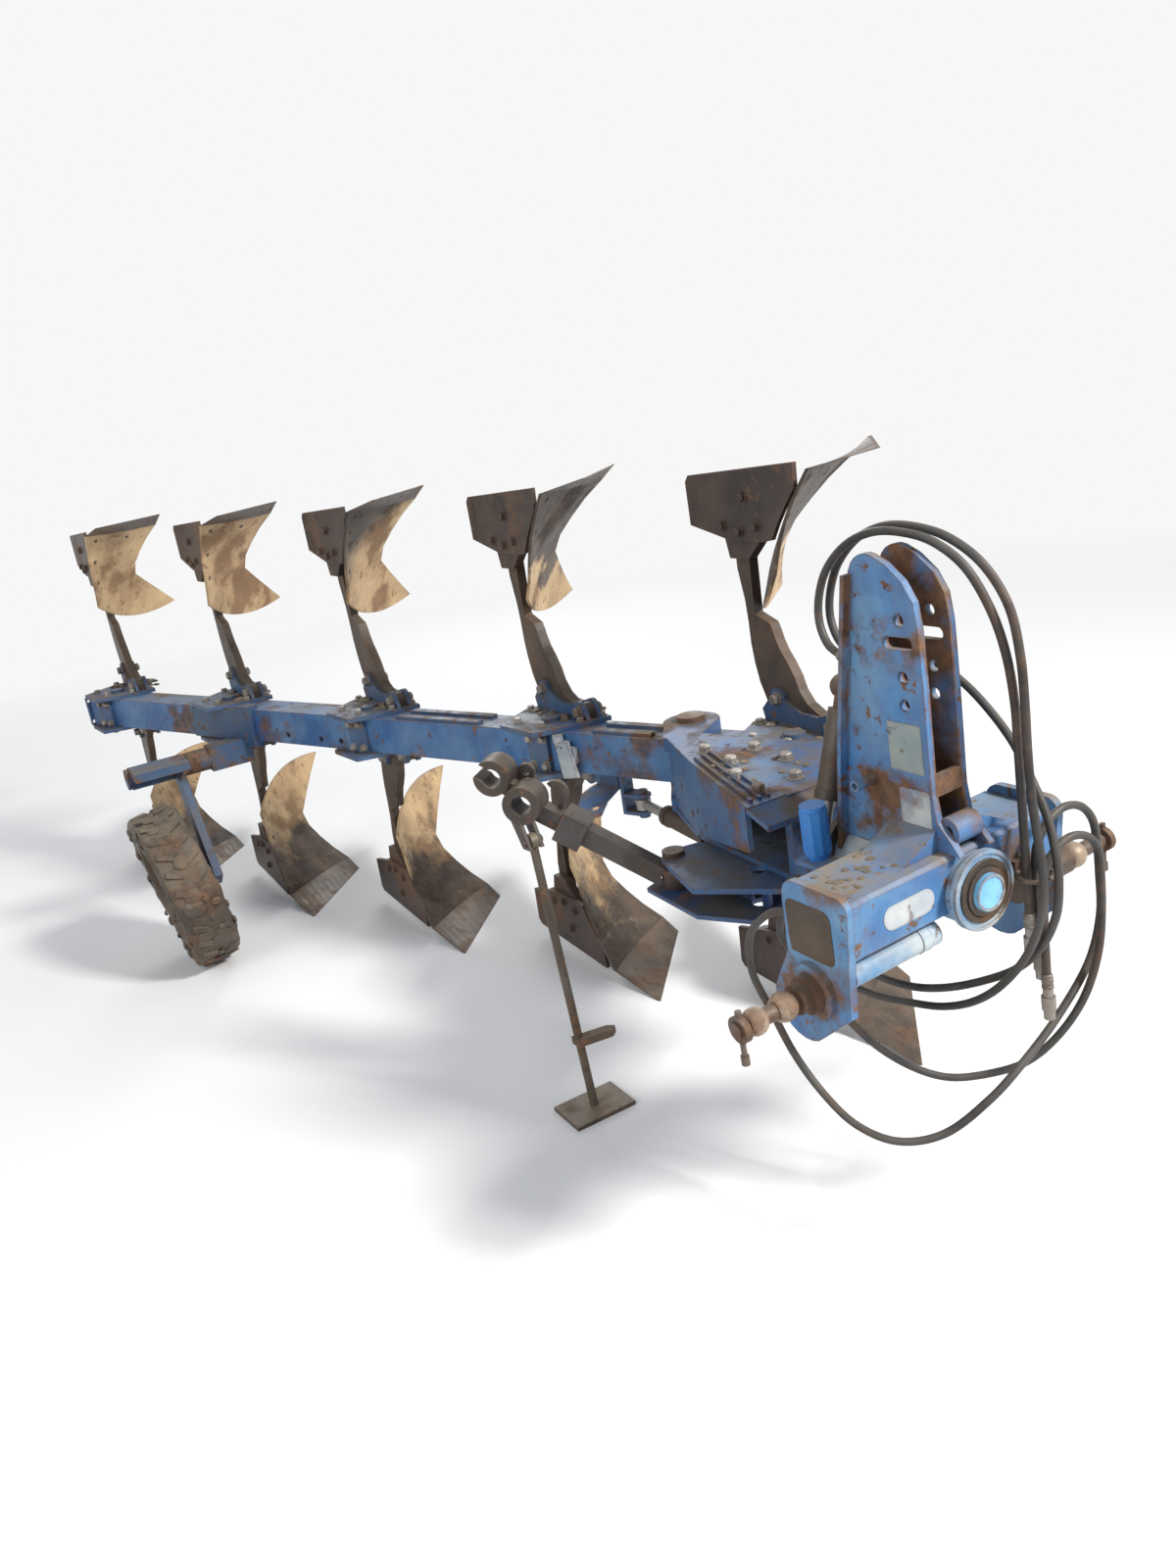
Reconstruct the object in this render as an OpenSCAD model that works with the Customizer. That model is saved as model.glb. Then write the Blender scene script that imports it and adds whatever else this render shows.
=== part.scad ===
// Five-furrow mounted reversible plough, parked on its lower bodies and stand.
// Sizes in mm. +Z up, -Y forward (to the tractor), +X to the driver's left.

/* [Frame] */
// angle of the main beam to the direction of travel
beam_angle = 20.5; // [17:0.5:24]
// width and height of the square main beam
beam_size = 132; // [110:1:150]
// wall of the main beam
beam_wall = 10; // [6:1:16]
// height of the turnover axis above the ground when parked
axis_height = 840; // [800:5:900]
// distance between bodies along the beam
body_spacing = 900; // [850:10:1000]
// place of the first body's leg along the beam, from the beam's datum
first_body = 106; // [90:1:200]
// front end of the beam, from the beam's datum
beam_front = -110; // [-150:5:-60]
// rear end of the beam, from the beam's datum
beam_rear = 3860; // [3840:10:4100]

/* [Bodies] */
// thickness of a leg
leg_thick = 32; // [24:1:40]
// reach of a share below or above the beam's centre
body_reach = 840; // [800:5:840]
// height of the landside plate
landside_height = 150; // [120:5:180]
// thickness of the landside plate
landside_thick = 14; // [8:1:20]
// thickness of the mouldboard
board_thick = 10; // [8:1:14]

/* [Headstock] */
// half distance between the lower link balls
link_half = 439; // [420:1:505]
// radius of a lower link ball
ball_radius = 28; // [24:1:32]
// radius of the lower link pin
pin_radius = 18; // [14:0.5:20]
// roll of the headstock about the turnover axis as parked
head_roll = -2.5; // [-5:0.5:5]
// half width of the turning head's plates above and below the beam
head_top = 112; // [108:1:130]
// radius of the turnover housing
housing_radius = 78; // [74:1:84]
// radius of the turnover axle
axle_radius = 52; // [45:1:60]
// gap between the turnover axle and its housing, on the radius
axle_gap = 0.05; // [0.02:0.01:0.1]
// radius of the holes in the tower
tower_hole = 13; // [12:0.5:16]

/* [Wheel] */
// tyre radius
tyre_radius = 325; // [300:5:360]
// tyre width
tyre_width = 185; // [160:5:220]
// camber of the depth wheel, top outwards
wheel_camber = 9; // [0:1:14]
// radius of the wheel's axle
wheel_axle = 20; // [16:1:25]

/* [Fits] */
// radial gap of a pin in its hole
pin_gap = 0.05; // [0.02:0.01:0.1]
// gap between faces that move past each other
side_gap = 1; // [0.5:0.1:2]
// play between seated pieces
seat_gap = 0.2; // [0.1:0.1:0.3]
// radius of the beam's swing pin
swing_pin = 22; // [18:1:28]
// radius of the catch arm's pin
catch_pin = 18; // [14:1:22]
// radius of small cylinder pins
small_pin = 12; // [10:1:16]
// radius of the stand's hinge pin
stand_pin = 10; // [8:1:12]
// radius of the wheel arm's pin
arm_pin = 26; // [22:1:32]

/* [Hidden] */
$fn = 48;
half_beam = beam_size/2;
beam_x0 = 354;
beam_y0 = 712;
// leg plane of a body to the side of the beam
leg_side_off = 100;
shift_x = 206.1;
shift_y = -2269.0;
body_index = [0, 1, 2, 3, 4];
ca = cos(beam_angle);
sa = sin(beam_angle);
paint = [0.30, 0.45, 0.70];
pale = [0.55, 0.66, 0.80];
rust = [0.30, 0.20, 0.15];
steel = [0.42, 0.40, 0.38];
soil = [0.66, 0.52, 0.36];
rubber = [0.15, 0.14, 0.13];
bright = [0.10, 0.35, 0.80];
black = [0.08, 0.08, 0.08];

function beam_pt(t, lat) = [beam_x0 - sa*t + ca*lat, beam_y0 + ca*t + sa*lat];
function leg_t(k) = first_body + k*body_spacing;

module moved() { translate([shift_x, shift_y, 0]) children(); }

module on_beam(t = 0, lat = 0) {
  moved() translate([beam_x0, beam_y0, axis_height])
    rotate([0, 0, beam_angle]) translate([lat, t, 0]) children();
}

module at_leg(k) {
  p = beam_pt(leg_t(k), leg_side_off);
  moved() translate([p[0], p[1], axis_height]) children();
}

module both_ways() {
  children();
  mirror([0, 0, 1]) children();
}

module on_head() {
  moved() translate([0, 0, axis_height]) rotate([0, head_roll, 0]) children();
}

module on_axis() { moved() translate([0, 0, axis_height]) children(); }

module rod_x(r, x0, x1) { translate([x0, 0, 0]) rotate([0, 90, 0]) cylinder(r = r, h = x1 - x0); }
module rod_y(r, y0, y1) { translate([0, y0, 0]) rotate([-90, 0, 0]) cylinder(r = r, h = y1 - y0); }
module rod_z(r, z0, z1) { translate([0, 0, z0]) cylinder(r = r, h = z1 - z0); }
module block(x0, x1, y0, y1, z0, z1) { translate([x0, y0, z0]) cube([x1 - x0, y1 - y0, z1 - z0]); }
// flat plate drawn in the side view, from x0 to x1
module plate_x(x0, x1, outline) {
  translate([x0, 0, 0]) rotate([90, 0, 90]) linear_extrude(x1 - x0) polygon(outline);
}
// flat plate drawn in the front view, from y0 to y1
module plate_y(y0, y1, outline) {
  translate([0, y1, 0]) rotate([90, 0, 0]) linear_extrude(y1 - y0) polygon(outline);
}
module plate_z(z0, z1, outline) {
  translate([0, 0, z0]) linear_extrude(z1 - z0) polygon(outline);
}
function arc_pts(cx, cy, r, a0, a1, n = 8) =
  [for (i = [0:n]) [cx + r*cos(a0 + (a1 - a0)*i/n), cy + r*sin(a0 + (a1 - a0)*i/n)]];

// Headstock
box_front = -96;
box_back = 85;
near_x = -330;
far_x = 245;
plate_t = 18;
shaft_z = -123;
shaft_y = 8;
house_back = 228;

end_outline = concat(arc_pts(-83, 80, 30, 180, 90, 5), arc_pts(38, 70, 40, 90, 0, 5),
  [[84, -60], [143, -165]], arc_pts(62, -180, 82, 5, -118, 8), [[-88, -157]]);

module end_plate(x0) plate_x(x0, x0 + plate_t, end_outline);

module headstock_box() color(paint) on_head() difference() {
  union() {
    // hollow cross beam
    plate_x(near_x, far_x, [[box_front + 8, 88], [box_back - 8, 88], [box_back, 76], [box_back, -70],
      [-20, -70], [-60, -40], [box_front, -32], [box_front, 80]]);
    end_plate(near_x - plate_t);
    end_plate(far_x);
    // saddle plates that run up to the tower
    plate_y(-62, 62, [[-150, 87], [-tower_out - seat_gap, 135], [-tower_out - seat_gap, 87]]);
    plate_y(-62, 62, [[150, 87], [tower_out + seat_gap, 135], [tower_out + seat_gap, 87]]);
    // bosses of the lower link pins
    for (x = [[near_x - plate_t - 14, near_x], [far_x, far_x + plate_t + 14]])
      translate([0, shaft_y, shaft_z]) rod_x(60, x[0], x[1]);
  }
  plate_x(near_x + 0.5, far_x - 0.5, [[box_front + 14, 74], [box_back - 14, 74], [box_back - 14, -56], [-14, -56],
    [-54, -26], [box_front + 14, -19]]);
  rod_y(housing_radius + seat_gap, -400, 400);
  for (x = [[near_x - 60, near_x + 20], [far_x - 20, far_x + 60]])
    translate([0, shaft_y, shaft_z]) rod_x(42 + seat_gap, x[0], x[1]);
}

// round tube along the lower front edge
tube_y = -72;
tube_z = -70;
module front_tube() color(pale) on_head() translate([0, tube_y, tube_z]) {
  rod_x(27, near_x + 0.2, -98);
  rod_x(29, -150, -125);
}

module scale_side(s) { if (s < 0) mirror([1, 0, 0]) children(); else children(); }
module scale_z(s) { if (s < 0) mirror([0, 0, 1]) children(); else children(); }

module turnover_housing() color(pale) on_head() difference() {
  union() {
    rod_y(housing_radius, box_front - 18, house_back);
    rod_y(housing_radius + 8, box_front - 30, box_front - 18);
  }
  rod_y(axle_radius + axle_gap, -400, 400);
}

// the axle turns in the housing and carries the crank and the turning head
crank_r = 80;
crank_a = 196;
crank = [crank_r*cos(crank_a), crank_r*sin(crank_a)];
crank_y = house_back + 2;
cyl_y = 285;
head_back = 390;
module turnover_axle() color(steel) on_axis() difference() {
  union() {
    rod_y(axle_radius, box_front - 38, crank_y);
    rod_y(crank_r + 18, crank_y, crank_y + 16);
    rod_y(40, crank_y, head_back);
  }
  rod_y(34, box_front - 60, box_front + 60);
}

module axle_cap() color(bright) on_axis() {
  rod_y(40, box_front - 48, box_front - 38);
  rod_y(34 - seat_gap, box_front - 39, box_front - 10);
}

// turnover cylinder behind the tower, from a pivot on the tower to the crank
top_pivot = [60, 360];
tc_len = norm(top_pivot - crank);
tc_ang = atan2(crank[0] - top_pivot[0], top_pivot[1] - crank[1]);
module on_tc() on_axis() rotate([0, head_roll, 0]) translate([top_pivot[0], cyl_y, top_pivot[1]])
  rotate([0, -tc_ang, 0]) children();

module turnover_barrel() color(steel) on_tc() difference() {
  union() {
    rod_y(26, -20, 20);
    rod_z(20, -60, 0);
    rod_z(30, -255, -50);
    rod_z(33, -257, -235);
  }
  rod_y(small_pin + seat_gap, -60, 60);
  rod_z(15, -300, -80);
}
// the rod's eye carries its own pin, which ends short of the crank
module turnover_rod() color(pale) on_tc() {
  rod_z(14.9, -tc_len, -205);
  translate([0, 0, -tc_len]) rod_y(18, -20, 18);
  translate([0, 0, -tc_len]) rod_y(small_pin, -(cyl_y - crank_y - 16) + 0.6, 24);
}
module tower_lug() color(rust) on_head() {
  plate_x(top_pivot[0] - 22, top_pivot[0] + 22, [[171.5, 335], [162.5, 385], [cyl_y - 22, 385], [cyl_y - 22, 335]]);
  translate([top_pivot[0], 0, top_pivot[1]]) rod_y(small_pin, cyl_y - 23, cyl_y + 22);
  translate([top_pivot[0], 0, top_pivot[1]]) rod_y(20, cyl_y + 20.5, cyl_y + 28);
}

tower_in = 34;
tower_out = 50;
tower_side = concat(
  [[85.3, 88.2], [85.3, 20], [220, 20], [183, 270], [112, 655]],
  arc_pts(62, 640, 51, 20, 110, 5),
  [[10, 672], [-30, 640], [-55, 600], [-62, 545], [-62, 420], [-58, 205], [-66, 150], [-100, 112], [-118, 88.2]]);
// holes of the top link: y, z
top_holes = [[-13, 562], [-10, 448], [-8, 390]];

module tower() color(paint) on_head() difference() {
  union() {
    for (s = [-1, 1]) scale_side(s) {
      difference() {
        plate_x(tower_in, tower_out, tower_side);
        for (h = top_holes) translate([0, h[0], h[1]]) rod_x(tower_hole, 0, 100);
        for (y = [-30, 22]) translate([0, y, 516]) rod_x(tower_hole, 0, 100);
        block(0, 100, -30, 22, 516 - tower_hole, 516 + tower_hole);
      }
      // rear flange
      plate_x(tower_out - 1, tower_out + 22, [[219, 30], [183, 268], [112, 650], [100, 650], [171, 268], [207, 30]]);
    }
    // rear web between the plates
    plate_x(-tower_in - 1, tower_in + 1, [[218, 30], [183, 270], [143.5, 485], [131, 485], [171, 270], [206, 30]]);
    // front web and its ring
    plate_x(-tower_in - 1, tower_in + 1, [[-58, 200], [-46, 200], [-46, 245], [-58, 245]]);
    translate([0, -76, 128]) difference() {
      rod_x(30, -tower_in - 1, tower_in + 1);
      rod_x(14, -60, 60);
    }
  }
  rod_y(housing_radius + 8 + seat_gap, -150, box_front - 17);
  rod_y(housing_radius + seat_gap, -400, 400);
}

// short tube on the near tower plate
module hose_stub() color(paint) on_head() translate([0, 100, 215]) difference() {
  rod_x(12, -108, -tower_out - 0.2);
  rod_x(8, -120, -60);
}

// round holder for papers on a bracket behind the box
can = [-132, 214, 34];
module canister() color(bright) on_head() translate([can[0], can[1], can[2]]) {
  cylinder(r = 26, h = 14);
  translate([0, 0, 13]) cylinder(r = 31, h = 100, $fn = 10);
  translate([0, 0, 112]) cylinder(r = 29, h = 12);
}
module canister_bracket() color(rust) on_head() {
  block(-172, -112, box_back, 246, can[2] - 12, can[2] - 0.2);
  block(-172, -112, box_back + 0.2, box_back + 10, -20, can[2] - 1);
}

// lower link pins: a thick neck, then the pin
pin_end = link_half + 118;
module link_pins() color(steel) on_head() translate([0, shaft_y, shaft_z]) {
  for (p = [[-1, -near_x], [1, far_x]]) scale_side(p[0]) {
    rod_x(42, p[1] - 12, p[1] + plate_t + 32);
    rod_x(32, p[1] + plate_t + 31, link_half - 34);
    rod_x(pin_radius, link_half - 35, pin_end);
  }
}

// balls on the pins: side place, radius
ball_rows = [[-(link_half - 4), ball_radius], [-(link_half + 68), ball_radius - 2], [link_half - 4, ball_radius]];
module link_balls() color(rust) on_head() translate([0, shaft_y, shaft_z])
  for (b = ball_rows) translate([b[0], 0, 0]) rotate([0, 90, 0]) rotate_extrude()
    polygon(concat([[pin_radius + pin_gap, -0.8*b[1]]],
      [for (i = [0:8]) let (a = -45 + 90*i/8) [b[1]*1.12*cos(a), b[1]*1.12*sin(a)]],
      [[pin_radius + pin_gap, 0.8*b[1]]]));

module linch_pins() color(steel) on_head() translate([0, shaft_y, shaft_z])
  for (s = [-1, 1]) scale_side(s) translate([link_half + 104, 0, 0]) {
    difference() {
      rod_x(29, -8, 8);
      rod_x(pin_radius + seat_gap, -20, 20);
    }
    rod_z(6, -72, -26);
    rod_z(9, -80, -60);
    rod_z(7, 26, 40);
  }

// Hydraulic hoses: routes by hand in the headstock's frame
hose_r = 9;
outer_route = [[-255, 150, -40], [-255, 170, -40], [-275, 225, -50], [-305, 270, -105], [-305, 285, -205],
  [-285, 260, -310], [-270, 220, -410], [-260, 150, -485], [-250, 60, -530], [-215, -30, -545], [-145, -100, -525],
  [-50, -140, -470], [50, -150, -420], [165, -150, -360], [275, -146, -280], [323, -144, -185], [331, -141, -85],
  [329, -139, 5], [316, -138, 52], [283, -137, 87], [236, -136, 100], [188, -136, 87], [153, -136, 52],
  [140, -136, 5], [138, -136, -70], [138, -136, -160], [138, -136, -185]];
inner_route = [[-205, 150, -40], [-205, 170, -40], [-217, 228, -60], [-222, 272, -125], [-195, 275, -205],
  [-155, 250, -295], [-125, 200, -375], [-105, 125, -430], [-75, 50, -465], [-25, -5, -490], [45, -55, -492],
  [110, -105, -470], [175, -142, -415], [230, -168, -335], [268, -178, -240], [283, -180, -140], [284, -180, -25],
  [273, -179, 15], [245, -177, 43], [205, -174, 54], [166, -171, 43], [137, -168, 15], [127, -165, -25],
  [124, -164, -110], [122, -164, -240], [122, -164, -265]];
tower_route = [[0, 190, 455], [0, 215, 455], [6, 262, 475], [14, 290, 520], [22, 290, 575], [30, 264, 634],
  [38, 208, 684], [44, 135, 710], [50, 60, 710], [62, -10, 690], [76, -72, 640], [88, -114, 560], [100, -134, 470],
  [106, -142, 370], [107, -142, 270], [107, -142, 170], [108, -141, 70], [109, -140, -8], [109, -140, -100],
  [109, -140, -125]];
feed_route = [[60, 190, 455], [60, 226, 455], [70, 262, 452], [96, 288, 448], [132, 298, 440], [168, 288, 431],
  [194, 262, 422], [204, 226, 412], [204, 165, 394], [199, 90, 366], [190, 15, 322], [176, -65, 258], [160, -122, 190],
  [148, -166, 120], [134, -194, 55], [124, -206, -8], [112, -204, -80], [96, -177, -152], [77, -128, -212], [48, -60, -255],
  [5, 10, -280],
  [-30, 80, -288], [-65, 160, -272], [-98, 225, -235], [-122, 258, -185], [-137, 268, -130], [-144, 252, -80],
  [-147, 212, -50], [-147, 170, -45], [-147, 150, -45]];
twin_route = [[30, 190, 455], [30, 215, 455], [38, 262, 475], [48, 292, 520], [58, 294, 575], [66, 268, 636],
  [74, 212, 688], [80, 140, 714], [84, 60, 714], [92, -20, 692], [102, -92, 640], [108, -142, 560], [106, -163, 465],
  [104, -168, 370], [103, -168, 270], [102, -172, 170], [99, -184, 80], [96, -193, -8], [84, -190, -80],
  [62, -165, -165], [38, -112, -245], [20, -48, -300], [2, 24, -332], [-20, 100, -342], [-65, 170, -328],
  [-105, 230, -290], [-135, 268, -240], [-160, 286, -180], [-176, 292, -120], [-187, 282, -62], [-192, 252, -16],
  [-193, 212, 5], [-193, 170, 8], [-193, 150, 8]];
hose_routes = [outer_route, inner_route, tower_route];

function curve_pt(a, b, c, d, t) =
  0.5*(2*b + (c - a)*t + (2*a - 5*b + 4*c - d)*t*t + (3*b - a - 3*c + d)*t*t*t);
function hose_path(p, n = 3) = let (m = len(p)) concat([p[0]],
  [for (i = [1:m - 3]) for (j = [0:n - 1]) curve_pt(p[i - 1], p[i], p[i + 1], p[i + 2], j/n)],
  [p[m - 2], p[m - 1]]);
function hose_dir(p, i) = let (d = p[min(i + 1, len(p) - 1)] - p[max(i - 1, 0)]) d/norm(d);
function hose_sides(p, i, n) = i >= len(p) ? [] :
  let (t = hose_dir(p, i), m = n - (n*t)*t, u = m/norm(m)) concat([u], hose_sides(p, i + 1, u));
module hose(route, k = 8) on_head() {
  p = hose_path(route);
  m = len(p);
  side = hose_sides(p, 0, [1, 0, 0.2]);
  rings = [for (i = [0:m - 1]) for (j = [0:k - 1]) let (t = hose_dir(p, i), a = 360*j/k)
    p[i] + hose_r*(cos(a)*side[i] + sin(a)*cross(t, side[i]))];
  walls = [for (i = [0:m - 2]) for (j = [0:k - 1]) let (a = i*k + j, b = i*k + (j + 1) % k) [a, b, b + k]];
  walls2 = [for (i = [0:m - 2]) for (j = [0:k - 1]) let (a = i*k + j, b = i*k + (j + 1) % k) [a, b + k, a + k]];
  ends = [[for (j = [0:k - 1]) k - 1 - j], [for (j = [0:k - 1]) (m - 1)*k + j]];
  polyhedron(points = rings, faces = [for (f = concat(walls, walls2, ends)) [for (v = [len(f) - 1:-1:0]) f[v]]],
    convexity = 10);
}
module hose_outer() color(black) hose(outer_route);
module hose_inner() color(black) hose(inner_route);
module hose_tower() color(black) hose(tower_route);
module hose_feed() color(black) hose(feed_route);
module hose_twin() color(black) hose(twin_route);

// manifold behind the box and fitting behind the tower, with their nipples
module hose_glands() color(steel) on_head() {
  block(-285, -178, box_back + 0.2, 118, -62, 28);
  block(-168, -126, box_back + 0.2, 118, -66, -24);
  for (r = [outer_route[0], inner_route[0], twin_route[len(twin_route) - 1], feed_route[len(feed_route) - 1]])
    translate([r[0], 0, r[2]]) {
      rod_y(15, 117, 132);
      rod_y(11, 131, r[1]);
    }
  plate_x(-16, 76, [[152, 440], [146.5, 470], [172, 470], [172, 440]]);
  for (r = [tower_route[0], twin_route[0], feed_route[0]]) translate([r[0], 0, r[2]]) rod_y(11, 171, r[1]);
}
// ring on the box's front that the hoses hang through
module hose_ring() color(rust) on_head() {
  translate([125, -146, -8]) rotate_extrude() translate([36, 0]) circle(r = 5);
  block(108, 142, -112, box_front - 0.2, -22, 16);
}
// couplers at the hanging ends
module hose_couplers() color(steel) on_head() for (r = hose_routes) let (e = r[len(r) - 1])
  translate([e[0], e[1], e[2]]) {
    rod_z(11, -22, 0);
    rod_z(15, -52, -21);
    rod_z(12, -74, -51);
  }

// Turning head
swing_t = 450;
sp = beam_pt(swing_t, 0);
head_plate = 14;
head_outline = [[-175, 400], [330, 400], [200, 800], [110, 1060], [50, 1060], [-40, 820]];
ear_outline = concat([[40, 1055], [60, 1000], [110, 980]], arc_pts(sp[0], sp[1], 85, -40, 160, 10));

module turning_head() color(paint) on_axis() difference() {
  union() {
    // front plate on the axle
    plate_y(head_back, head_back + 25, [[-60, -head_top], [332, -head_top], [332, head_top], [-60, head_top]]);
    // top and bottom plates
    plate_z(-head_top, -head_top + head_plate, [[-60, 400], [330, 400], [200, 800], [110, 1060], [50, 1060], [-36, 830]]);
    plate_z(head_top - head_plate, head_top, head_outline);
    // near wall, lower towards the rear
    intersection() {
      plate_z(-head_top + 1, head_top - 1, [[-175, 410], [-160, 410], [-26, 815], [-40, 820]]);
      plate_x(-400, 400, [[400, head_top], [1100, head_top], [1100, -head_top], [860, -head_top], [400, 0]]);
    }
    plate_z(-head_top + 1, head_top - 1, [[-40, 820], [-26, 812], [70, 1050], [54, 1056]]);
    // ridges along the top plate
    for (i = [0:2]) plate_z(head_top - 1, head_top + 8,
      [[-150 + 26*i, 420], [-142 + 26*i, 420], [-18 + 26*i, 815], [-26 + 26*i, 815]]);
    // sloping tongue towards the tower
    plate_x(-176, 150, [[328, 70], [404, 98.5], [404, 111.5], [328, 84]]);
    // ears above and below the beam at the swing pin
    for (s = [1, -1]) scale_z(s) plate_z(half_beam + 6, head_top, ear_outline);
  }
  translate([sp[0], sp[1], 0]) rod_z(swing_pin + seat_gap, -300, 300);
}

module swing_pin_piece() color(rust) on_axis() translate([sp[0], sp[1], 0]) {
  rod_z(swing_pin, -head_top - 10, head_top + 10);
  for (s = [1, -1]) scale_z(s) rod_z(42, head_top + 0.2, head_top + 16);
}

// brackets under the head for the catch arm and the swing cylinder
cp = [-150, 780];
wp = [45, 850];
low_plate = -212;
up_plate = -head_top - 14;
module console() color(paint) on_axis() difference() {
  union() {
    plate_z(low_plate, low_plate + 12, [[-225, 590], [-150, 460], [130, 460], [150, 800], [90, 910], [-60, 890], [-215, 830]]);
    plate_z(up_plate, -head_top, [[-249, 560], [-110, 397], [30, 420], [130, 420], [130, 640], [20, 730], [-60, 800],
      [-118, 812], [-165, 808], [-186, 785], [-200, 740]]);
    plate_z(low_plate + 11, up_plate + 1, [[112, 470], [124, 470], [124, 800], [112, 800]]);
    plate_z(up_plate, -head_top, [[111, 600], [125, 600], [125, 800], [111, 800]]);
    plate_z(low_plate + 11, up_plate + 1, [[-82, 480], [-70, 480], [-70, 700], [-82, 700]]);
  }
  translate([cp[0], cp[1], 0]) rod_z(catch_pin + seat_gap, -300, -100);
  translate([-70, 528, 0]) rod_z(24, -300, -100);
  translate([wp[0], wp[1], 0]) rod_z(small_pin + seat_gap, -300, -180);
}
module catch_pivot() color(rust) on_axis() translate([cp[0], cp[1], 0]) {
  rod_z(catch_pin, low_plate - 14, -head_top + 1);
  rod_z(30, -head_top + 0.2, -head_top + 14);
}

// swing cylinder under the beam
eye = beam_pt(640, -40);
sc_z = -156;
sc_len = norm(eye - wp);
sc_ang = atan2(-(eye[0] - wp[0]), eye[1] - wp[1]);
module on_sc() on_axis() translate([wp[0], wp[1], sc_z]) rotate([0, 0, sc_ang]) children();
module swing_barrel() color(steel) on_sc() difference() {
  union() {
    rod_z(24, -20, 20);
    rod_y(20, 10, 60);
    rod_y(29, 50, 290);
    rod_y(32, 268, 292);
  }
  rod_z(small_pin + pin_gap, -60, 60);
  rod_y(15, 80, 400);
}
// the rod's eye carries its own short pin between the beam's lugs
module swing_rod() color(pale) on_sc() {
  rod_y(14.9, 150, sc_len);
  translate([0, sc_len, 0]) rod_z(24, -17, 17);
  translate([0, sc_len, 0]) rod_z(small_pin, -21.4, 21.4);
}
module swing_cyl_pin() color(rust) on_axis() translate([wp[0], wp[1], 0]) {
  rod_z(small_pin, low_plate - 12, -head_top - 0.3);
  rod_z(20, low_plate - 12, low_plate - 0.2);
}
module swing_lug() color(paint) on_beam() {
  for (z = [sc_z - 34, sc_z + 22]) plate_z(z, z + 12, [[-66, 704], [-14, 704], [-14, 640], [-24, 618], [-56, 618], [-66, 640]]);
  plate_y(692, 704, [[-66, sc_z - 34], [-14, sc_z - 34], [-14, -half_beam - 0.2], [-66, -half_beam - 0.2]]);
  for (z = [sc_z - 44, sc_z + 34]) translate([-40, 640, 0]) rod_z(17, z, z + 10.2);
}
// slotted plate beside the beam
module slot_plate() color(paint) on_beam() difference() {
  union() {
    plate_z(-112, -100, [[-60, 714], [-60, 800], [-150, 790], [-290, 700], [-300, 640], [-270, 620], [-160, 680]]);
    plate_z(-101, -half_beam - 0.2, [[-60, 714], [-48, 714], [-48, 800], [-60, 800]]);
    plate_z(-112, -100, [[-61, 714], [-48, 714], [-48, 800], [-61, 800]]);
  }
  translate([-250, 660, 0]) rod_z(11, -200, 0);
  translate([-215, 682, 0]) rod_z(11, -200, 0);
  translate([-250, 660, 0]) rotate([0, 0, 32]) block(0, 41.3, -11, 11, -200, 0);
}

// Main beam and what is bolted to it
module main_beam() color(paint) on_beam() difference() {
  block(-half_beam, half_beam, beam_front, beam_rear, -half_beam, half_beam);
  block(-half_beam + beam_wall, half_beam - beam_wall, beam_front - 1, beam_rear - 1,
        -half_beam + beam_wall, half_beam - beam_wall);
  translate([0, swing_t, 0]) rod_z(swing_pin + pin_gap, -200, 200);
  // spare holes of the wheel bracket: place along the beam, height
  for (h = [[2030, -34], [2150, -34], [2355, -29]])
    translate([0, h[0], h[1]]) rod_x(11, -half_beam - 1, -half_beam + beam_wall + 1);
}

module beam_end_plate() color(paint) on_beam(beam_rear) difference() {
  block(-82, 82, 0, 14, -half_beam, half_beam);
  for (x = [-70, 70]) for (z = [-50, 50]) translate([x, 0, z]) rod_y(9, -1, 20);
}

// flat bars on the beam's top: start, end, side place
bar_rows = [[570, 790, -42], [570, 790, 30], [1290, 1700, -42], [1290, 1700, 30]];
module top_bars() color(paint) on_beam()
  for (b = bar_rows) block(b[2] - 15, b[2] + 15, b[0], b[1], half_beam + 0.2, half_beam + 12);

// inclined link with a pale face, and its pin
module near_link() color(pale) on_beam(870, -half_beam) {
  rotate([0, 0, 0]) plate_x(-34, -22, [[-30, -70], [30, -78], [46, 40], [-6, 46]]);
  block(-24, -0.2, -18, 18, -30, 24);
  translate([-19, 42, 0]) rod_z(17, 40, 64);
  plate_z(30, 42, [[-34, -6], [-34, 46], [-0.3, 60], [-0.3, 10]]);
}

// console of each body pair on the beam, in the leg's own plane
bolt_y = 108;
plate_over = 16;
knuckle = [-118, 40];
module body_brackets() color(paint) {
  for (k = body_index) {
    at_leg(k) both_ways() {
      plate_z(half_beam + 0.2, half_beam + plate_over,
        [[-210, -120], [-30, -176], [52, -176], [52, 170], [-60, 190], [-225, 80]]);
      for (s = [-1, 1]) scale_side(s) difference() {
        plate_x(leg_thick/2 + seat_gap, leg_thick/2 + seat_gap + 14,
          concat([[-165, half_beam + 15], [170, half_beam + 15], [180, half_beam + 50]],
            arc_pts(bolt_y, half_beam + 88, 34, 0, 180, 6), [[10, half_beam + 60], [-60, half_beam + 56]],
            arc_pts(knuckle[0], half_beam + knuckle[1], 34, 60, 180, 5)));
        translate([0, bolt_y, half_beam + 88]) rod_x(11, 0, 60);
        translate([0, knuckle[0], half_beam + knuckle[1]]) rod_x(12, 0, 60);
      }
    }
    // clamp plates beside the beam and the pivot's heads
    on_beam(leg_t(k)) {
      for (s = k == 3 ? [1] : [-1, 1]) scale_side(s)
        block(half_beam + 0.2, half_beam + 18, -42, 42, -half_beam - plate_over, half_beam + plate_over);
      both_ways() rod_z(30, half_beam + plate_over - 1, half_beam + plate_over + 12);
    }
  }
}

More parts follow.
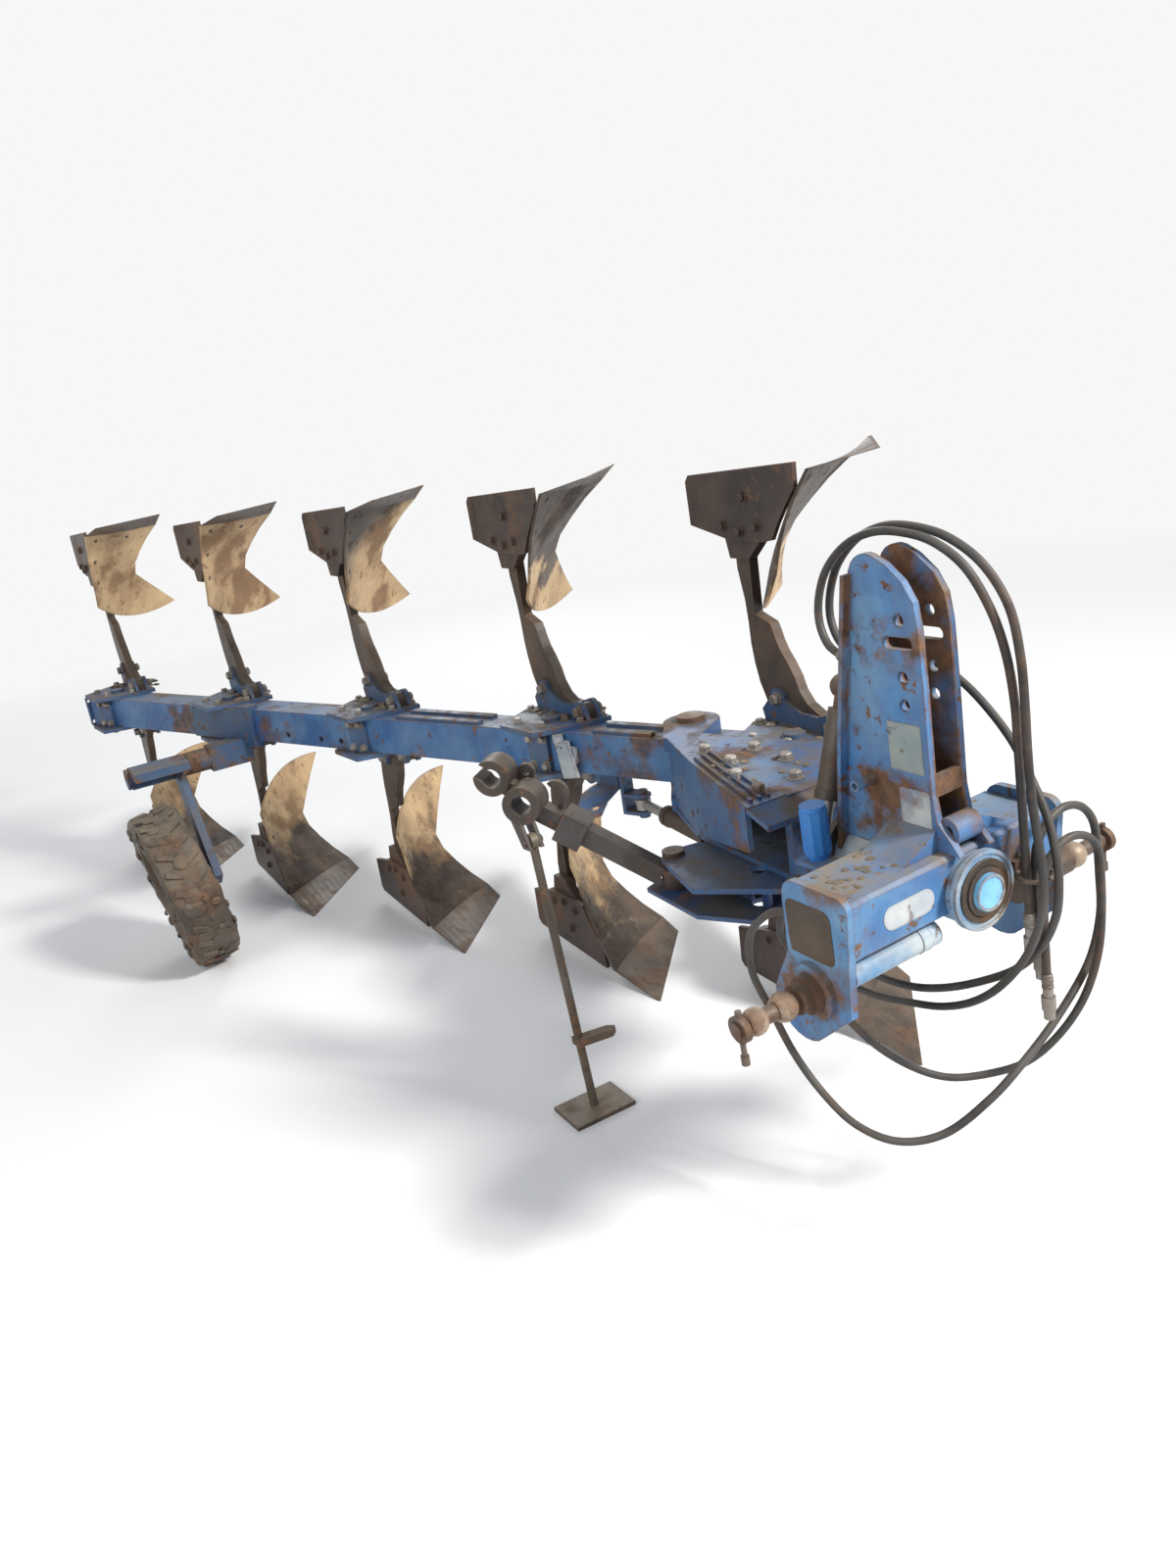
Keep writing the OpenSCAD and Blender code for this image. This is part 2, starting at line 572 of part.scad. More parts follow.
leg_foot = half_beam + plate_over + 0.2;
leg_side = [[-140, leg_foot], [-104, 108], [-50, 128], [-8, 150], [22, 185], [38, 225], [62, 262], [88, 295],
  [104, 325], [114, 352], [124, 372], [190, 396], [190, 620],
  [250, 620], [248, 525], [236, 470], [228, 435], [222, 370], [220, 306], [212, 250], [196, 190], [172, 140],
  [134, leg_foot]];
module legs_for(up) color(rust) for (k = body_index) at_leg(k) scale_z(up) difference() {
  union() {
    plate_x(-leg_thick/2, leg_thick/2, leg_side);
    plate_x(-leg_thick/2, leg_thick/2, concat([[-144, leg_foot], [-60, leg_foot], [-60, 118]],
      arc_pts(knuckle[0], half_beam + knuckle[1], 26, 60, 180, 5)));
  }
  translate([0, bolt_y, half_beam + 88]) rod_x(11, -60, 60);
  translate([0, knuckle[0], half_beam + knuckle[1]]) rod_x(12, -60, 60);
}
module upper_legs() legs_for(1);
module lower_legs() legs_for(-1);

land_x = -60;
// mouldboard rows from the share's edge to the beam side:
// share of the height, shin y, rear edge x, rear edge y, hollow of the face
face_rows = [
  [0.00, -385, 304, 0, 0],
  [0.10, -152, 284, 60, 4],
  [0.22, -112, 238, 112, 10],
  [0.34, -76, 202, 156, 14],
  [0.46, -46, 174, 200, 18],
  [0.58, -22, 168, 240, 22],
  [0.70, -4, 226, 330, 28],
  [0.85, 16, 300, 436, 34],
  [1.00, 48, 372, 528, 38]];
top_mid = -300;
top_curve = 215;
face_n = 12;
function top_z(s) = 470 + top_mid*s + top_curve*s*s;
function row_z(r, s) = body_reach - face_rows[r][0]*(body_reach - top_z(s));
function face_pt(r, i) = let (row = face_rows[r], s = i/face_n,
    x0 = r == 0 ? -40 : land_x - 1, y0 = row[1], x1 = row[2], y1 = row[3],
    len = sqrt((x1 - x0)*(x1 - x0) + (y1 - y0)*(y1 - y0)),
    nx = -(y1 - y0)/len, ny = (x1 - x0)/len, bow = row[4]*4*s*(1 - s))
  [x0 + (x1 - x0)*s + nx*bow, y0 + (y1 - y0)*s + ny*bow, row_z(r, s)];
// back of the mouldboard where the landside's inner face meets it
function back_y(r) = let (a = face_pt(r, 0), b = face_pt(r, 1), x = land_x + landside_thick + 0.6*board_thick)
  a[1] + (b[1] - a[1])*(x - a[0])/(b[0] - a[0]) + 0.8*board_thick + 0.8;
land_front = [for (r = [2:5]) [back_y(r), row_z(r, 0.05)]];

module landsides_for(up) color(rust) for (k = body_index) at_leg(k) scale_z(up) {
  plate_x(land_x, land_x + landside_thick, concat(
    [[-86, body_reach - 20]], land_front,
    [[60, 612], [200, 612], [392, body_reach - 45 - landside_height + 10], [396, body_reach - 60], [380, body_reach - 42]]));
  // frog joining leg, landside and mouldboard
  plate_x(land_x + landside_thick - 1, -leg_thick/2 - seat_gap,
    [[60, 640], [150, 560], [235, 560], [250, 620], [310, 640], [310, 770], [30, 790], [20, 720]]);
}
module upper_landsides() landsides_for(1);
module lower_landsides() landsides_for(-1);

function sheet_mesh(nr, nc) = let (n = nr*nc)
  concat(
    [for (r = [0:nr - 2]) for (c = [0:nc - 2]) [r*nc + c, r*nc + c + 1, (r + 1)*nc + c + 1]],
    [for (r = [0:nr - 2]) for (c = [0:nc - 2]) [r*nc + c, (r + 1)*nc + c + 1, (r + 1)*nc + c]],
    [for (r = [0:nr - 2]) for (c = [0:nc - 2]) [n + r*nc + c, n + (r + 1)*nc + c + 1, n + r*nc + c + 1]],
    [for (r = [0:nr - 2]) for (c = [0:nc - 2]) [n + r*nc + c, n + (r + 1)*nc + c, n + (r + 1)*nc + c + 1]],
    [for (c = [0:nc - 2]) [c, n + c, n + c + 1]],
    [for (c = [0:nc - 2]) [c, n + c + 1, c + 1]],
    [for (c = [0:nc - 2]) [(nr - 1)*nc + c, (nr - 1)*nc + c + 1, n + (nr - 1)*nc + c + 1]],
    [for (c = [0:nc - 2]) [(nr - 1)*nc + c, n + (nr - 1)*nc + c + 1, n + (nr - 1)*nc + c]],
    [for (r = [0:nr - 2]) [r*nc, (r + 1)*nc, n + (r + 1)*nc]],
    [for (r = [0:nr - 2]) [r*nc, n + (r + 1)*nc, n + r*nc]],
    [for (r = [0:nr - 2]) [r*nc + nc - 1, n + r*nc + nc - 1, n + (r + 1)*nc + nc - 1]],
    [for (r = [0:nr - 2]) [r*nc + nc - 1, n + (r + 1)*nc + nc - 1, (r + 1)*nc + nc - 1]]);
module sheet(r0, r1) {
  front = [for (r = [r0:r1]) for (i = [0:face_n]) face_pt(r, i)];
  back = [for (p = front) p + [-board_thick*0.6, board_thick*0.8, 0]];
  polyhedron(points = concat(front, back), faces = sheet_mesh(r1 - r0 + 1, face_n + 1), convexity = 6);
}
module boards_for(up) color(soil) for (k = body_index) at_leg(k) scale_z(up) sheet(1, 8);
module upper_boards() boards_for(1);
module lower_boards() boards_for(-1);
module shares_for(up) color(rust) for (k = body_index) at_leg(k) scale_z(up) sheet(0, 1);
module upper_shares() shares_for(1);
module lower_shares() shares_for(-1);

// Depth wheel
wheel_at = [-1058, 2930];
arm_pivot = [3190, -105];
tread_flat = tyre_width/2 - 40;
wheel_z = tyre_radius*cos(wheel_camber) + tread_flat*sin(wheel_camber);
module on_wheel() moved() translate([wheel_at[0], wheel_at[1], wheel_z]) rotate([0, -wheel_camber, 0]) children();
module on_arm() moved() translate([0, arm_pivot[0], axis_height + arm_pivot[1]]) children();

module tyre() color(rubber) on_wheel() rotate([0, 90, 0]) rotate_extrude($fn = 72)
  polygon([[235, -tyre_width/2 + 22], [262, -tyre_width/2 + 6], [290, -tyre_width/2],
    [312, -tyre_width/2 + 14], [tyre_radius, -tread_flat], [tyre_radius, tread_flat],
    [312, tyre_width/2 - 14], [290, tyre_width/2],
    [262, tyre_width/2 - 6], [235, tyre_width/2 - 22], [215, tyre_width/2 - 26], [215, -tyre_width/2 + 26]]);
module rim() color(steel) on_wheel() rotate([0, 90, 0]) {
  rotate_extrude($fn = 72) polygon([[214.8, -68], [228, -80], [228, -86], [205, -86], [196, -60], [196, 60],
    [205, 86], [228, 86], [228, 80], [214.8, 68]]);
  difference() {
    union() {
      translate([0, 0, -20]) cylinder(r = 197, h = 10);
      translate([0, 0, -60]) cylinder(r = 45, h = 110);
    }
    translate([0, 0, -100]) cylinder(r = wheel_axle + pin_gap, h = 300);
  }
}
module wheel_arm() color(paint) {
  on_wheel() rod_x(wheel_axle, -72, 150);
  on_wheel() rod_x(32, 70, 112);
  on_wheel() rod_x(30, -72, -60.5);
  on_arm() difference() {
    union() {
      plate_x(-944, -912, [[-306, -394], [-236, -450], [36, -36], [46, 30], [-40, 46], [-60, -20]]);
      rod_x(46, -1112, -890);
      block(-1112, -900, -150, 10, 10, 44);
    }
    rod_x(arm_pin + pin_gap, -1200, -700);
  }
}
module wheel_bracket() color(paint) {
  on_arm() {
    rod_x(arm_pin, -1126, -780);
    rod_x(42, -1128, -1113);
    rod_x(46, -888, -790);
    plate_z(-50, 50, [[-800, -45], [-626.6, -45], [-657.2, 37], [-800, 37]]);
  }
  // plate on the beam's near face with a lip over its top
  on_beam() {
    block(-half_beam - 24, -half_beam - 0.2, 2560, 2980, -half_beam + 4, half_beam - 2);
    block(-half_beam - 24, -half_beam + 30, 2560, 2640, half_beam + 0.2, half_beam + 16);
    block(-half_beam - 24, -half_beam - 0.2, 2560, 2640, half_beam - 4, half_beam + 16);
    block(-half_beam - 24, -half_beam + 30, 2560, 2640, -half_beam - 20, -half_beam - 0.2);
    block(-half_beam - 24, -half_beam - 0.2, 2560, 2640, -half_beam - 20, -half_beam + 6);
  }
}

// Catch arm and stand
arm_dir = 44;
arm_lift = 32;
module on_catch() moved() translate([cp[0], cp[1], axis_height - 185]) rotate([0, 0, arm_dir]) children();
module catch_arm() color(rust) on_catch() {
  difference() {
    rod_z(38, -14, 40);
    rod_z(catch_pin + pin_gap, -60, 60);
  }
  rotate([arm_lift, 0, 0]) {
    block(-26, 26, 40, 276, -26, 26);
    block(-42, 42, 270, 345, -42, 42);
  }
}
st = [-444, 1000];
st_z = -33;
foot = [-422, 939];
st_len = norm([foot[0] - st[0], foot[1] - st[1], axis_height + st_z]);
module on_stand() moved() translate([st[0], st[1], axis_height + st_z])
  rotate([-atan2(st[1] - foot[1], axis_height + st_z), -atan2(foot[0] - st[0], axis_height + st_z), 0]) children();
module catch_jaws() color(rust) {
  on_catch() rotate([arm_lift, 0, 0]) {
    translate([-20, 452, 16]) difference() {
      rod_x(52, -48, 38);
      rod_x(28, -60, 60);
    }
    translate([6, 560, 32]) difference() {
      rod_x(50, -42, 40);
      rod_x(27, -60, 60);
      block(-80, 80, 0, 120, -20, 20);
    }
    block(-24, 24, 345.2, 408, -24, 24);
    block(-20, 20, 496, 520, 0, 40);
    // eye above the jaws
    translate([46, 0, 0]) difference() {
      plate_x(-9, 9, concat([[430, 30], [520, 30]], arc_pts(492, 62, 24, 0, 180, 8)));
      translate([0, 492, 62]) rod_x(9, -20, 20);
    }
    // curved hook
    translate([16, 0, 0]) plate_x(-8, 8, concat(arc_pts(392, 62, 34, 200, 20, 8), arc_pts(392, 62, 20, 20, 170, 8), [[372, 22], [356, 22]]));
  }
  // ears and pin of the stand
  on_stand() {
    for (s = [-1, 1]) scale_side(s) plate_x(12.6, 22.6, [[-20, -19], [20, -19], [60, 60], [10, 70]]);
    rod_x(stand_pin, -28, 28);
  }
}
module stand() color(steel) {
  on_stand() {
    difference() {
      rod_x(22, -10, 10);
      rod_x(stand_pin + pin_gap, -60, 60);
    }
    rod_z(12, -st_len + 12, -20);
    plate_z(-606, -584, [[-14, -22], [84, -44], [104, -28], [88, -8], [-14, 18]]);
  }
  moved() translate([foot[0], foot[1], 0]) plate_z(0, 12, [[-95, -68], [95, -68], [95, 68], [-95, 68]]);
}

headstock_box();
front_tube();
turnover_housing();
tower();
tower_lug();
hose_stub();
canister_bracket();
canister();
link_pins();
link_balls();
linch_pins();
hose_glands();
hose_ring();
hose_couplers();
hose_outer();
hose_inner();
hose_tower();
hose_feed();
hose_twin();
turnover_barrel();
turnover_rod();
turnover_axle();
axle_cap();
turning_head();
swing_pin_piece();
console();
catch_pivot();
swing_cyl_pin();
swing_barrel();
swing_rod();
main_beam();
beam_end_plate();
top_bars();
near_link();
slot_plate();
swing_lug();
body_brackets();
upper_legs();
lower_legs();
upper_landsides();
lower_landsides();
upper_boards();
lower_boards();
upper_shares();
lower_shares();
wheel_bracket();
wheel_arm();
rim();
tyre();
catch_arm();
catch_jaws();
stand();
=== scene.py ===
import math
import random

import bpy
from mathutils import Matrix, Vector


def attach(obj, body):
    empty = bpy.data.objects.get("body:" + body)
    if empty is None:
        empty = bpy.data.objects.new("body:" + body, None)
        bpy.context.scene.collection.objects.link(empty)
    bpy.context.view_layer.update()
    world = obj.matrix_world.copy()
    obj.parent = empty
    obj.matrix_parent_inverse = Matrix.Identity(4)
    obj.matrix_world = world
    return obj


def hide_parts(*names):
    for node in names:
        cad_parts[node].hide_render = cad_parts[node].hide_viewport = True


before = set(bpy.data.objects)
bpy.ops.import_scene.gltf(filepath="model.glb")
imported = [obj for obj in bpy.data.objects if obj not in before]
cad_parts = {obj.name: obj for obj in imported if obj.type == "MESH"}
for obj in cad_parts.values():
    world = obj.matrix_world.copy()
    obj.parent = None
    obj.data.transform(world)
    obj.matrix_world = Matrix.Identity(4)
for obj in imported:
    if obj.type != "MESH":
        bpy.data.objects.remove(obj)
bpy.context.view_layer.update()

# Camera: a phone held at eye height in front of the plough, on its near side.
# The place and the turn come from the solved view; its datum lies at the turnover axis.
datum = Vector((0.2061, -2.2690, 0))
turn = Vector((1.7906, -0.6022, 0.2327))
world_to_lens = Matrix.Rotation(turn.length, 3, turn)
lens_axes = world_to_lens.transposed() @ Matrix.Diagonal((1, -1, -1))
camera_data = bpy.data.cameras.new("camera")
camera_data.sensor_fit = "VERTICAL"
camera_data.sensor_height = 36
camera_data.lens = 36 * 1198.8 / 1600
camera_data.clip_start = 0.05
camera_data.clip_end = 200
camera = bpy.data.objects.new("camera", camera_data)
camera.matrix_world = Matrix.Translation(datum + Vector((-1.6855, -1.6603, 1.8845))) @ lens_axes.to_4x4()
bpy.context.scene.collection.objects.link(camera)
bpy.context.scene.camera = camera

# Hoses: black rubber hydraulic hoses, 18 mm outside, grey with age, crimped into fittings on the headstock.
# Three end in couplers below the ring on the box's front; two run under the box to the manifold behind it.
# Their finish comes from one wear group that the painted steel uses too.
wear = bpy.data.node_groups.new("paint_wear", "ShaderNodeTree")
for socket_name, kind, start in (
    ("Paint", "NodeSocketColor", (0.1, 0.2, 0.5, 1)),
    ("Faded", "NodeSocketColor", (0.4, 0.5, 0.7, 1)),
    ("Rust", "NodeSocketColor", (0.1, 0.05, 0.03, 1)),
    ("Dust", "NodeSocketColor", (0.4, 0.33, 0.25, 1)),
    ("Fade", "NodeSocketFloat", 0.5),
    ("Chips", "NodeSocketFloat", 0.5),
    ("Edge", "NodeSocketFloat", 0.5),
    ("Dirt", "NodeSocketFloat", 0.5),
    ("Zone", "NodeSocketFloat", 0.0),
):
    socket = wear.interface.new_socket(socket_name, in_out="INPUT", socket_type=kind)
    socket.default_value = start
for socket_name, kind in (
    ("Color", "NodeSocketColor"),
    ("Roughness", "NodeSocketFloat"),
    ("Height", "NodeSocketFloat"),
):
    wear.interface.new_socket(socket_name, in_out="OUTPUT", socket_type=kind)


def wear_node(tree, kind, place, **values):
    made = tree.nodes.new(kind)
    made.location = place
    for key, value in values.items():
        setattr(made, key, value)
    return made


def noise_band(tree, place, scale, detail, low, high, stretch=(1, 1, 1)):
    """Noise on Object coordinates, cut to a band from low to high."""
    coords = wear_node(tree, "ShaderNodeTexCoord", (place[0] - 600, place[1]))
    mapping = wear_node(tree, "ShaderNodeMapping", (place[0] - 400, place[1]))
    mapping.inputs["Scale"].default_value = stretch
    noise = wear_node(tree, "ShaderNodeTexNoise", (place[0] - 200, place[1]))
    noise.inputs["Scale"].default_value = scale
    noise.inputs["Detail"].default_value = detail
    noise.inputs["Roughness"].default_value = 0.62
    band = wear_node(tree, "ShaderNodeMapRange", place)
    band.inputs["From Min"].default_value = low
    band.inputs["From Max"].default_value = high
    tree.links.new(coords.outputs["Object"], mapping.inputs["Vector"])
    tree.links.new(mapping.outputs["Vector"], noise.inputs["Vector"])
    tree.links.new(noise.outputs["Fac"], band.inputs["Value"])
    return band.outputs["Result"]


def sums(tree, place, how, a, b):
    """One step of arithmetic on two sockets or numbers."""
    clamped = how in ("MULTIPLY", "MAXIMUM", "ADD")
    node = wear_node(tree, "ShaderNodeMath", place, operation=how, use_clamp=clamped)
    for slot_number, value in enumerate((a, b)):
        if isinstance(value, (int, float)):
            node.inputs[slot_number].default_value = value
        else:
            tree.links.new(value, node.inputs[slot_number])
    return node.outputs[0]


def mixed(tree, place, share, a, b):
    """A colour between a and b; the share is a socket, a and b are sockets or colours."""
    node = wear_node(tree, "ShaderNodeMix", place, data_type="RGBA")
    tree.links.new(share, node.inputs["Factor"])
    for socket_name, value in (("A", a), ("B", b)):
        target = [s for s in node.inputs if s.name == socket_name and s.type == "RGBA"][0]
        if isinstance(value, tuple):
            target.default_value = value
        else:
            tree.links.new(value, target)
    return [s for s in node.outputs if s.type == "RGBA"][0]


wear_in = wear_node(wear, "NodeGroupInput", (-1400, 0))
wear_out = wear_node(wear, "NodeGroupOutput", (1600, 0))
# worn edges: where a rounded normal leaves the true one
rounded = wear_node(wear, "ShaderNodeBevel", (-1400, -500), samples=4)
rounded.inputs["Radius"].default_value = 0.008
true_face = wear_node(wear, "ShaderNodeNewGeometry", (-1400, -700))
across = wear_node(wear, "ShaderNodeVectorMath", (-1200, -500), operation="DOT_PRODUCT")
wear.links.new(rounded.outputs["Normal"], across.inputs[0])
wear.links.new(true_face.outputs["Normal"], across.inputs[1])
edge_cut = wear_node(wear, "ShaderNodeMapRange", (-1000, -500))
edge_cut.inputs["From Min"].default_value = 0.995
edge_cut.inputs["From Max"].default_value = 0.86
wear.links.new(across.outputs["Value"], edge_cut.inputs["Value"])
edge_gaps = noise_band(wear, (-800, -800), 34, 5, 0.36, 0.56)
edge_broken = sums(wear, (-600, -500), "MULTIPLY", edge_cut.outputs["Result"], edge_gaps)
edge_worn = sums(wear, (-400, -500), "MULTIPLY", edge_broken, wear_in.outputs["Edge"])
big_patch = noise_band(wear, (-800, -1100), 3.1, 7, 0.53, 0.60)
small_chip = noise_band(wear, (-800, -1400), 26, 6, 0.60, 0.645)
patches = sums(wear, (-400, -1100), "MAXIMUM", big_patch, small_chip)
patches_worn = sums(wear, (-200, -1100), "MULTIPLY", patches, wear_in.outputs["Chips"])
chipped = sums(wear, (-200, -700), "MAXIMUM", edge_worn, patches_worn)
bare = sums(wear, (0, -700), "MAXIMUM", chipped, wear_in.outputs["Zone"])
fade_clouds = noise_band(wear, (-800, 300), 4.5, 5, 0.38, 0.66)
fading = sums(wear, (-400, 300), "MULTIPLY", fade_clouds, wear_in.outputs["Fade"])
streak = noise_band(wear, (-800, 600), 9, 4, 0.40, 0.72, (1, 1, 0.12))
painted = mixed(wear, (0, 300), fading, wear_in.outputs["Paint"], wear_in.outputs["Faded"])
fresh_rust = (0.20, 0.085, 0.035, 1)
rust_clouds = noise_band(wear, (-800, -2000), 40, 6, 0.35, 0.68)
rust_tone = mixed(wear, (0, -300), rust_clouds, wear_in.outputs["Rust"], fresh_rust)
with_rust = mixed(wear, (300, 100), bare, painted, rust_tone)
upward = wear_node(wear, "ShaderNodeSeparateXYZ", (-1200, 900))
wear.links.new(true_face.outputs["Normal"], upward.inputs[0])
facing_up = wear_node(wear, "ShaderNodeMapRange", (-1000, 900))
facing_up.inputs["From Min"].default_value = 0.1
facing_up.inputs["From Max"].default_value = 0.95
facing_up.inputs["To Min"].default_value = 0.28
wear.links.new(upward.outputs["Z"], facing_up.inputs["Value"])
dust_noise = noise_band(wear, (-800, 1200), 7, 8, 0.34, 0.66)
dust_cover = sums(wear, (-500, 1100), "MAXIMUM", dust_noise, streak)
dust_here = sums(wear, (-400, 900), "MULTIPLY", dust_cover, facing_up.outputs["Result"])
dust_share = sums(wear, (-200, 900), "MULTIPLY", dust_here, wear_in.outputs["Dirt"])
dirty = mixed(wear, (600, 200), dust_share, with_rust, wear_in.outputs["Dust"])
wear.links.new(dirty, wear_out.inputs["Color"])
rough_a = sums(wear, (600, -200), "MULTIPLY", bare, 0.35)
rough_b = sums(wear, (800, -200), "ADD", rough_a, 0.48)
rough_dust = sums(wear, (900, -400), "MULTIPLY", dust_share, 0.95)
wear.links.new(sums(wear, (1000, -200), "MAXIMUM", rough_b, rough_dust), wear_out.inputs["Roughness"])
grain = noise_band(wear, (-800, -2400), 160, 4, 0.2, 0.8)
grain_depth = sums(wear, (400, -800), "MULTIPLY", grain, 0.55)
pits = sums(wear, (600, -800), "MULTIPLY", grain_depth, sums(wear, (400, -1000), "ADD", bare, 0.12))
level = sums(wear, (800, -800), "SUBTRACT", pits, sums(wear, (600, -1100), "MULTIPLY", bare, 0.6))
wear.links.new(level, wear_out.inputs["Height"])


def weathered(name, paint, faded, rust, dust, fade, chips, edge, dirt, metallic=0.0, depth=0.0015):
    """A painted or rusty steel finish with its own tones and its own share of wear."""
    finish = bpy.data.materials.new(name)
    finish.use_nodes = True
    tree = finish.node_tree
    shader = tree.nodes["Principled BSDF"]
    shader.inputs["Metallic"].default_value = metallic
    shader.inputs["Specular IOR Level"].default_value = 0.3
    worn = tree.nodes.new("ShaderNodeGroup")
    worn.node_tree = wear
    worn.location = (-600, 0)
    for socket_name, value in (("Paint", paint), ("Faded", faded), ("Rust", rust), ("Dust", dust),
                               ("Fade", fade), ("Chips", chips), ("Edge", edge), ("Dirt", dirt)):
        worn.inputs[socket_name].default_value = value if isinstance(value, float) else (*value, 1)
    bump = tree.nodes.new("ShaderNodeBump")
    bump.location = (-300, -300)
    bump.inputs["Distance"].default_value = depth
    bump.inputs["Strength"].default_value = 0.9
    tree.links.new(worn.outputs["Color"], shader.inputs["Base Color"])
    tree.links.new(worn.outputs["Roughness"], shader.inputs["Roughness"])
    tree.links.new(worn.outputs["Height"], bump.inputs["Height"])
    tree.links.new(bump.outputs["Normal"], shader.inputs["Normal"])
    return finish


def dress(finish, *nodes):
    for node_name in nodes:
        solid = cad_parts[node_name]
        solid.data.materials.clear()
        solid.data.materials.append(finish)


axis_height = 0.840
head_roll = math.radians(-2.5)
head_frame = Matrix.Translation(datum + Vector((0, 0, axis_height))) @ Matrix.Rotation(head_roll, 4, "Y")
hose_radius = 0.009
outer_route = (
    (-0.255, 0.15, -0.04), (-0.255, 0.17, -0.04), (-0.275, 0.225, -0.05), (-0.305, 0.27, -0.105),
    (-0.305, 0.285, -0.205), (-0.285, 0.26, -0.31), (-0.27, 0.22, -0.41), (-0.26, 0.15, -0.485),
    (-0.25, 0.06, -0.53), (-0.215, -0.03, -0.545), (-0.145, -0.1, -0.525), (-0.05, -0.14, -0.47),
    (0.05, -0.15, -0.42), (0.165, -0.15, -0.36), (0.275, -0.146, -0.28), (0.323, -0.144, -0.185),
    (0.331, -0.141, -0.085), (0.329, -0.139, 0.005), (0.316, -0.138, 0.052), (0.283, -0.137, 0.087),
    (0.236, -0.136, 0.1), (0.188, -0.136, 0.087), (0.153, -0.136, 0.052), (0.14, -0.136, 0.005),
    (0.138, -0.136, -0.07), (0.138, -0.136, -0.16), (0.138, -0.136, -0.185),
)
inner_route = (
    (-0.205, 0.15, -0.04), (-0.205, 0.17, -0.04), (-0.217, 0.228, -0.06), (-0.222, 0.272, -0.125),
    (-0.195, 0.275, -0.205), (-0.155, 0.25, -0.295), (-0.125, 0.2, -0.375), (-0.105, 0.125, -0.43),
    (-0.075, 0.05, -0.465), (-0.025, -0.005, -0.49), (0.045, -0.055, -0.492), (0.11, -0.105, -0.47),
    (0.175, -0.142, -0.415), (0.23, -0.168, -0.335), (0.268, -0.178, -0.24), (0.283, -0.18, -0.14),
    (0.284, -0.18, -0.025), (0.273, -0.179, 0.015), (0.245, -0.177, 0.043), (0.205, -0.174, 0.054),
    (0.166, -0.171, 0.043), (0.137, -0.168, 0.015), (0.127, -0.165, -0.025), (0.124, -0.164, -0.11),
    (0.122, -0.164, -0.24), (0.122, -0.164, -0.265),
)
tower_route = (
    (0, 0.19, 0.455), (0, 0.215, 0.455), (0.006, 0.262, 0.475), (0.014, 0.29, 0.52), (0.022, 0.29, 0.575),
    (0.03, 0.264, 0.634), (0.038, 0.208, 0.684), (0.044, 0.135, 0.71), (0.05, 0.06, 0.71),
    (0.062, -0.01, 0.69), (0.076, -0.072, 0.64), (0.088, -0.114, 0.56), (0.1, -0.134, 0.47),
    (0.106, -0.142, 0.37), (0.107, -0.142, 0.27), (0.107, -0.142, 0.17), (0.108, -0.141, 0.07),
    (0.109, -0.14, -0.008), (0.109, -0.14, -0.1), (0.109, -0.14, -0.125),
)
feed_route = (
    (0.06, 0.19, 0.455), (0.06, 0.226, 0.455), (0.07, 0.262, 0.452), (0.096, 0.288, 0.448),
    (0.132, 0.298, 0.44), (0.168, 0.288, 0.431), (0.194, 0.262, 0.422), (0.204, 0.226, 0.412),
    (0.204, 0.165, 0.394), (0.199, 0.09, 0.366), (0.19, 0.015, 0.322), (0.176, -0.065, 0.258),
    (0.16, -0.122, 0.19), (0.148, -0.166, 0.12), (0.134, -0.194, 0.055), (0.124, -0.206, -0.008),
    (0.112, -0.204, -0.08), (0.096, -0.177, -0.152), (0.077, -0.128, -0.212), (0.048, -0.06, -0.255),
    (0.005, 0.01, -0.28), (-0.03, 0.08, -0.288), (-0.065, 0.16, -0.272), (-0.098, 0.225, -0.235),
    (-0.122, 0.258, -0.185), (-0.137, 0.268, -0.13), (-0.144, 0.252, -0.08), (-0.147, 0.212, -0.05),
    (-0.147, 0.17, -0.045), (-0.147, 0.15, -0.045),
)
twin_route = (
    (0.03, 0.19, 0.455), (0.03, 0.215, 0.455), (0.038, 0.262, 0.475), (0.048, 0.292, 0.52),
    (0.058, 0.294, 0.575), (0.066, 0.268, 0.636), (0.074, 0.212, 0.688), (0.08, 0.14, 0.714),
    (0.084, 0.06, 0.714), (0.092, -0.02, 0.692), (0.102, -0.092, 0.64), (0.108, -0.142, 0.56),
    (0.106, -0.163, 0.465), (0.104, -0.168, 0.37), (0.103, -0.168, 0.27), (0.102, -0.172, 0.17),
    (0.099, -0.184, 0.08), (0.096, -0.193, -0.008), (0.084, -0.19, -0.08), (0.062, -0.165, -0.165),
    (0.038, -0.112, -0.245), (0.02, -0.048, -0.3), (0.002, 0.024, -0.332), (-0.02, 0.1, -0.342),
    (-0.065, 0.17, -0.328), (-0.105, 0.23, -0.29), (-0.135, 0.268, -0.24), (-0.16, 0.286, -0.18),
    (-0.176, 0.292, -0.12), (-0.187, 0.282, -0.062), (-0.192, 0.252, -0.016), (-0.193, 0.212, 0.005),
    (-0.193, 0.17, 0.008), (-0.193, 0.15, 0.008),
)


def smooth_route(points, steps=8):
    """The curve through the points, straight along its first and last stretch."""
    places = [Vector(point) for point in points]
    line = [places[0]]
    for a, b, c, d in zip(places, places[1:], places[2:], places[3:]):
        for i in range(steps):
            t = i / steps
            line.append(0.5 * (2*b + (c - a)*t + (2*a - 5*b + 4*c - d)*t*t + (3*b - a - 3*c + d)*t*t*t))
    return line + places[-2:]


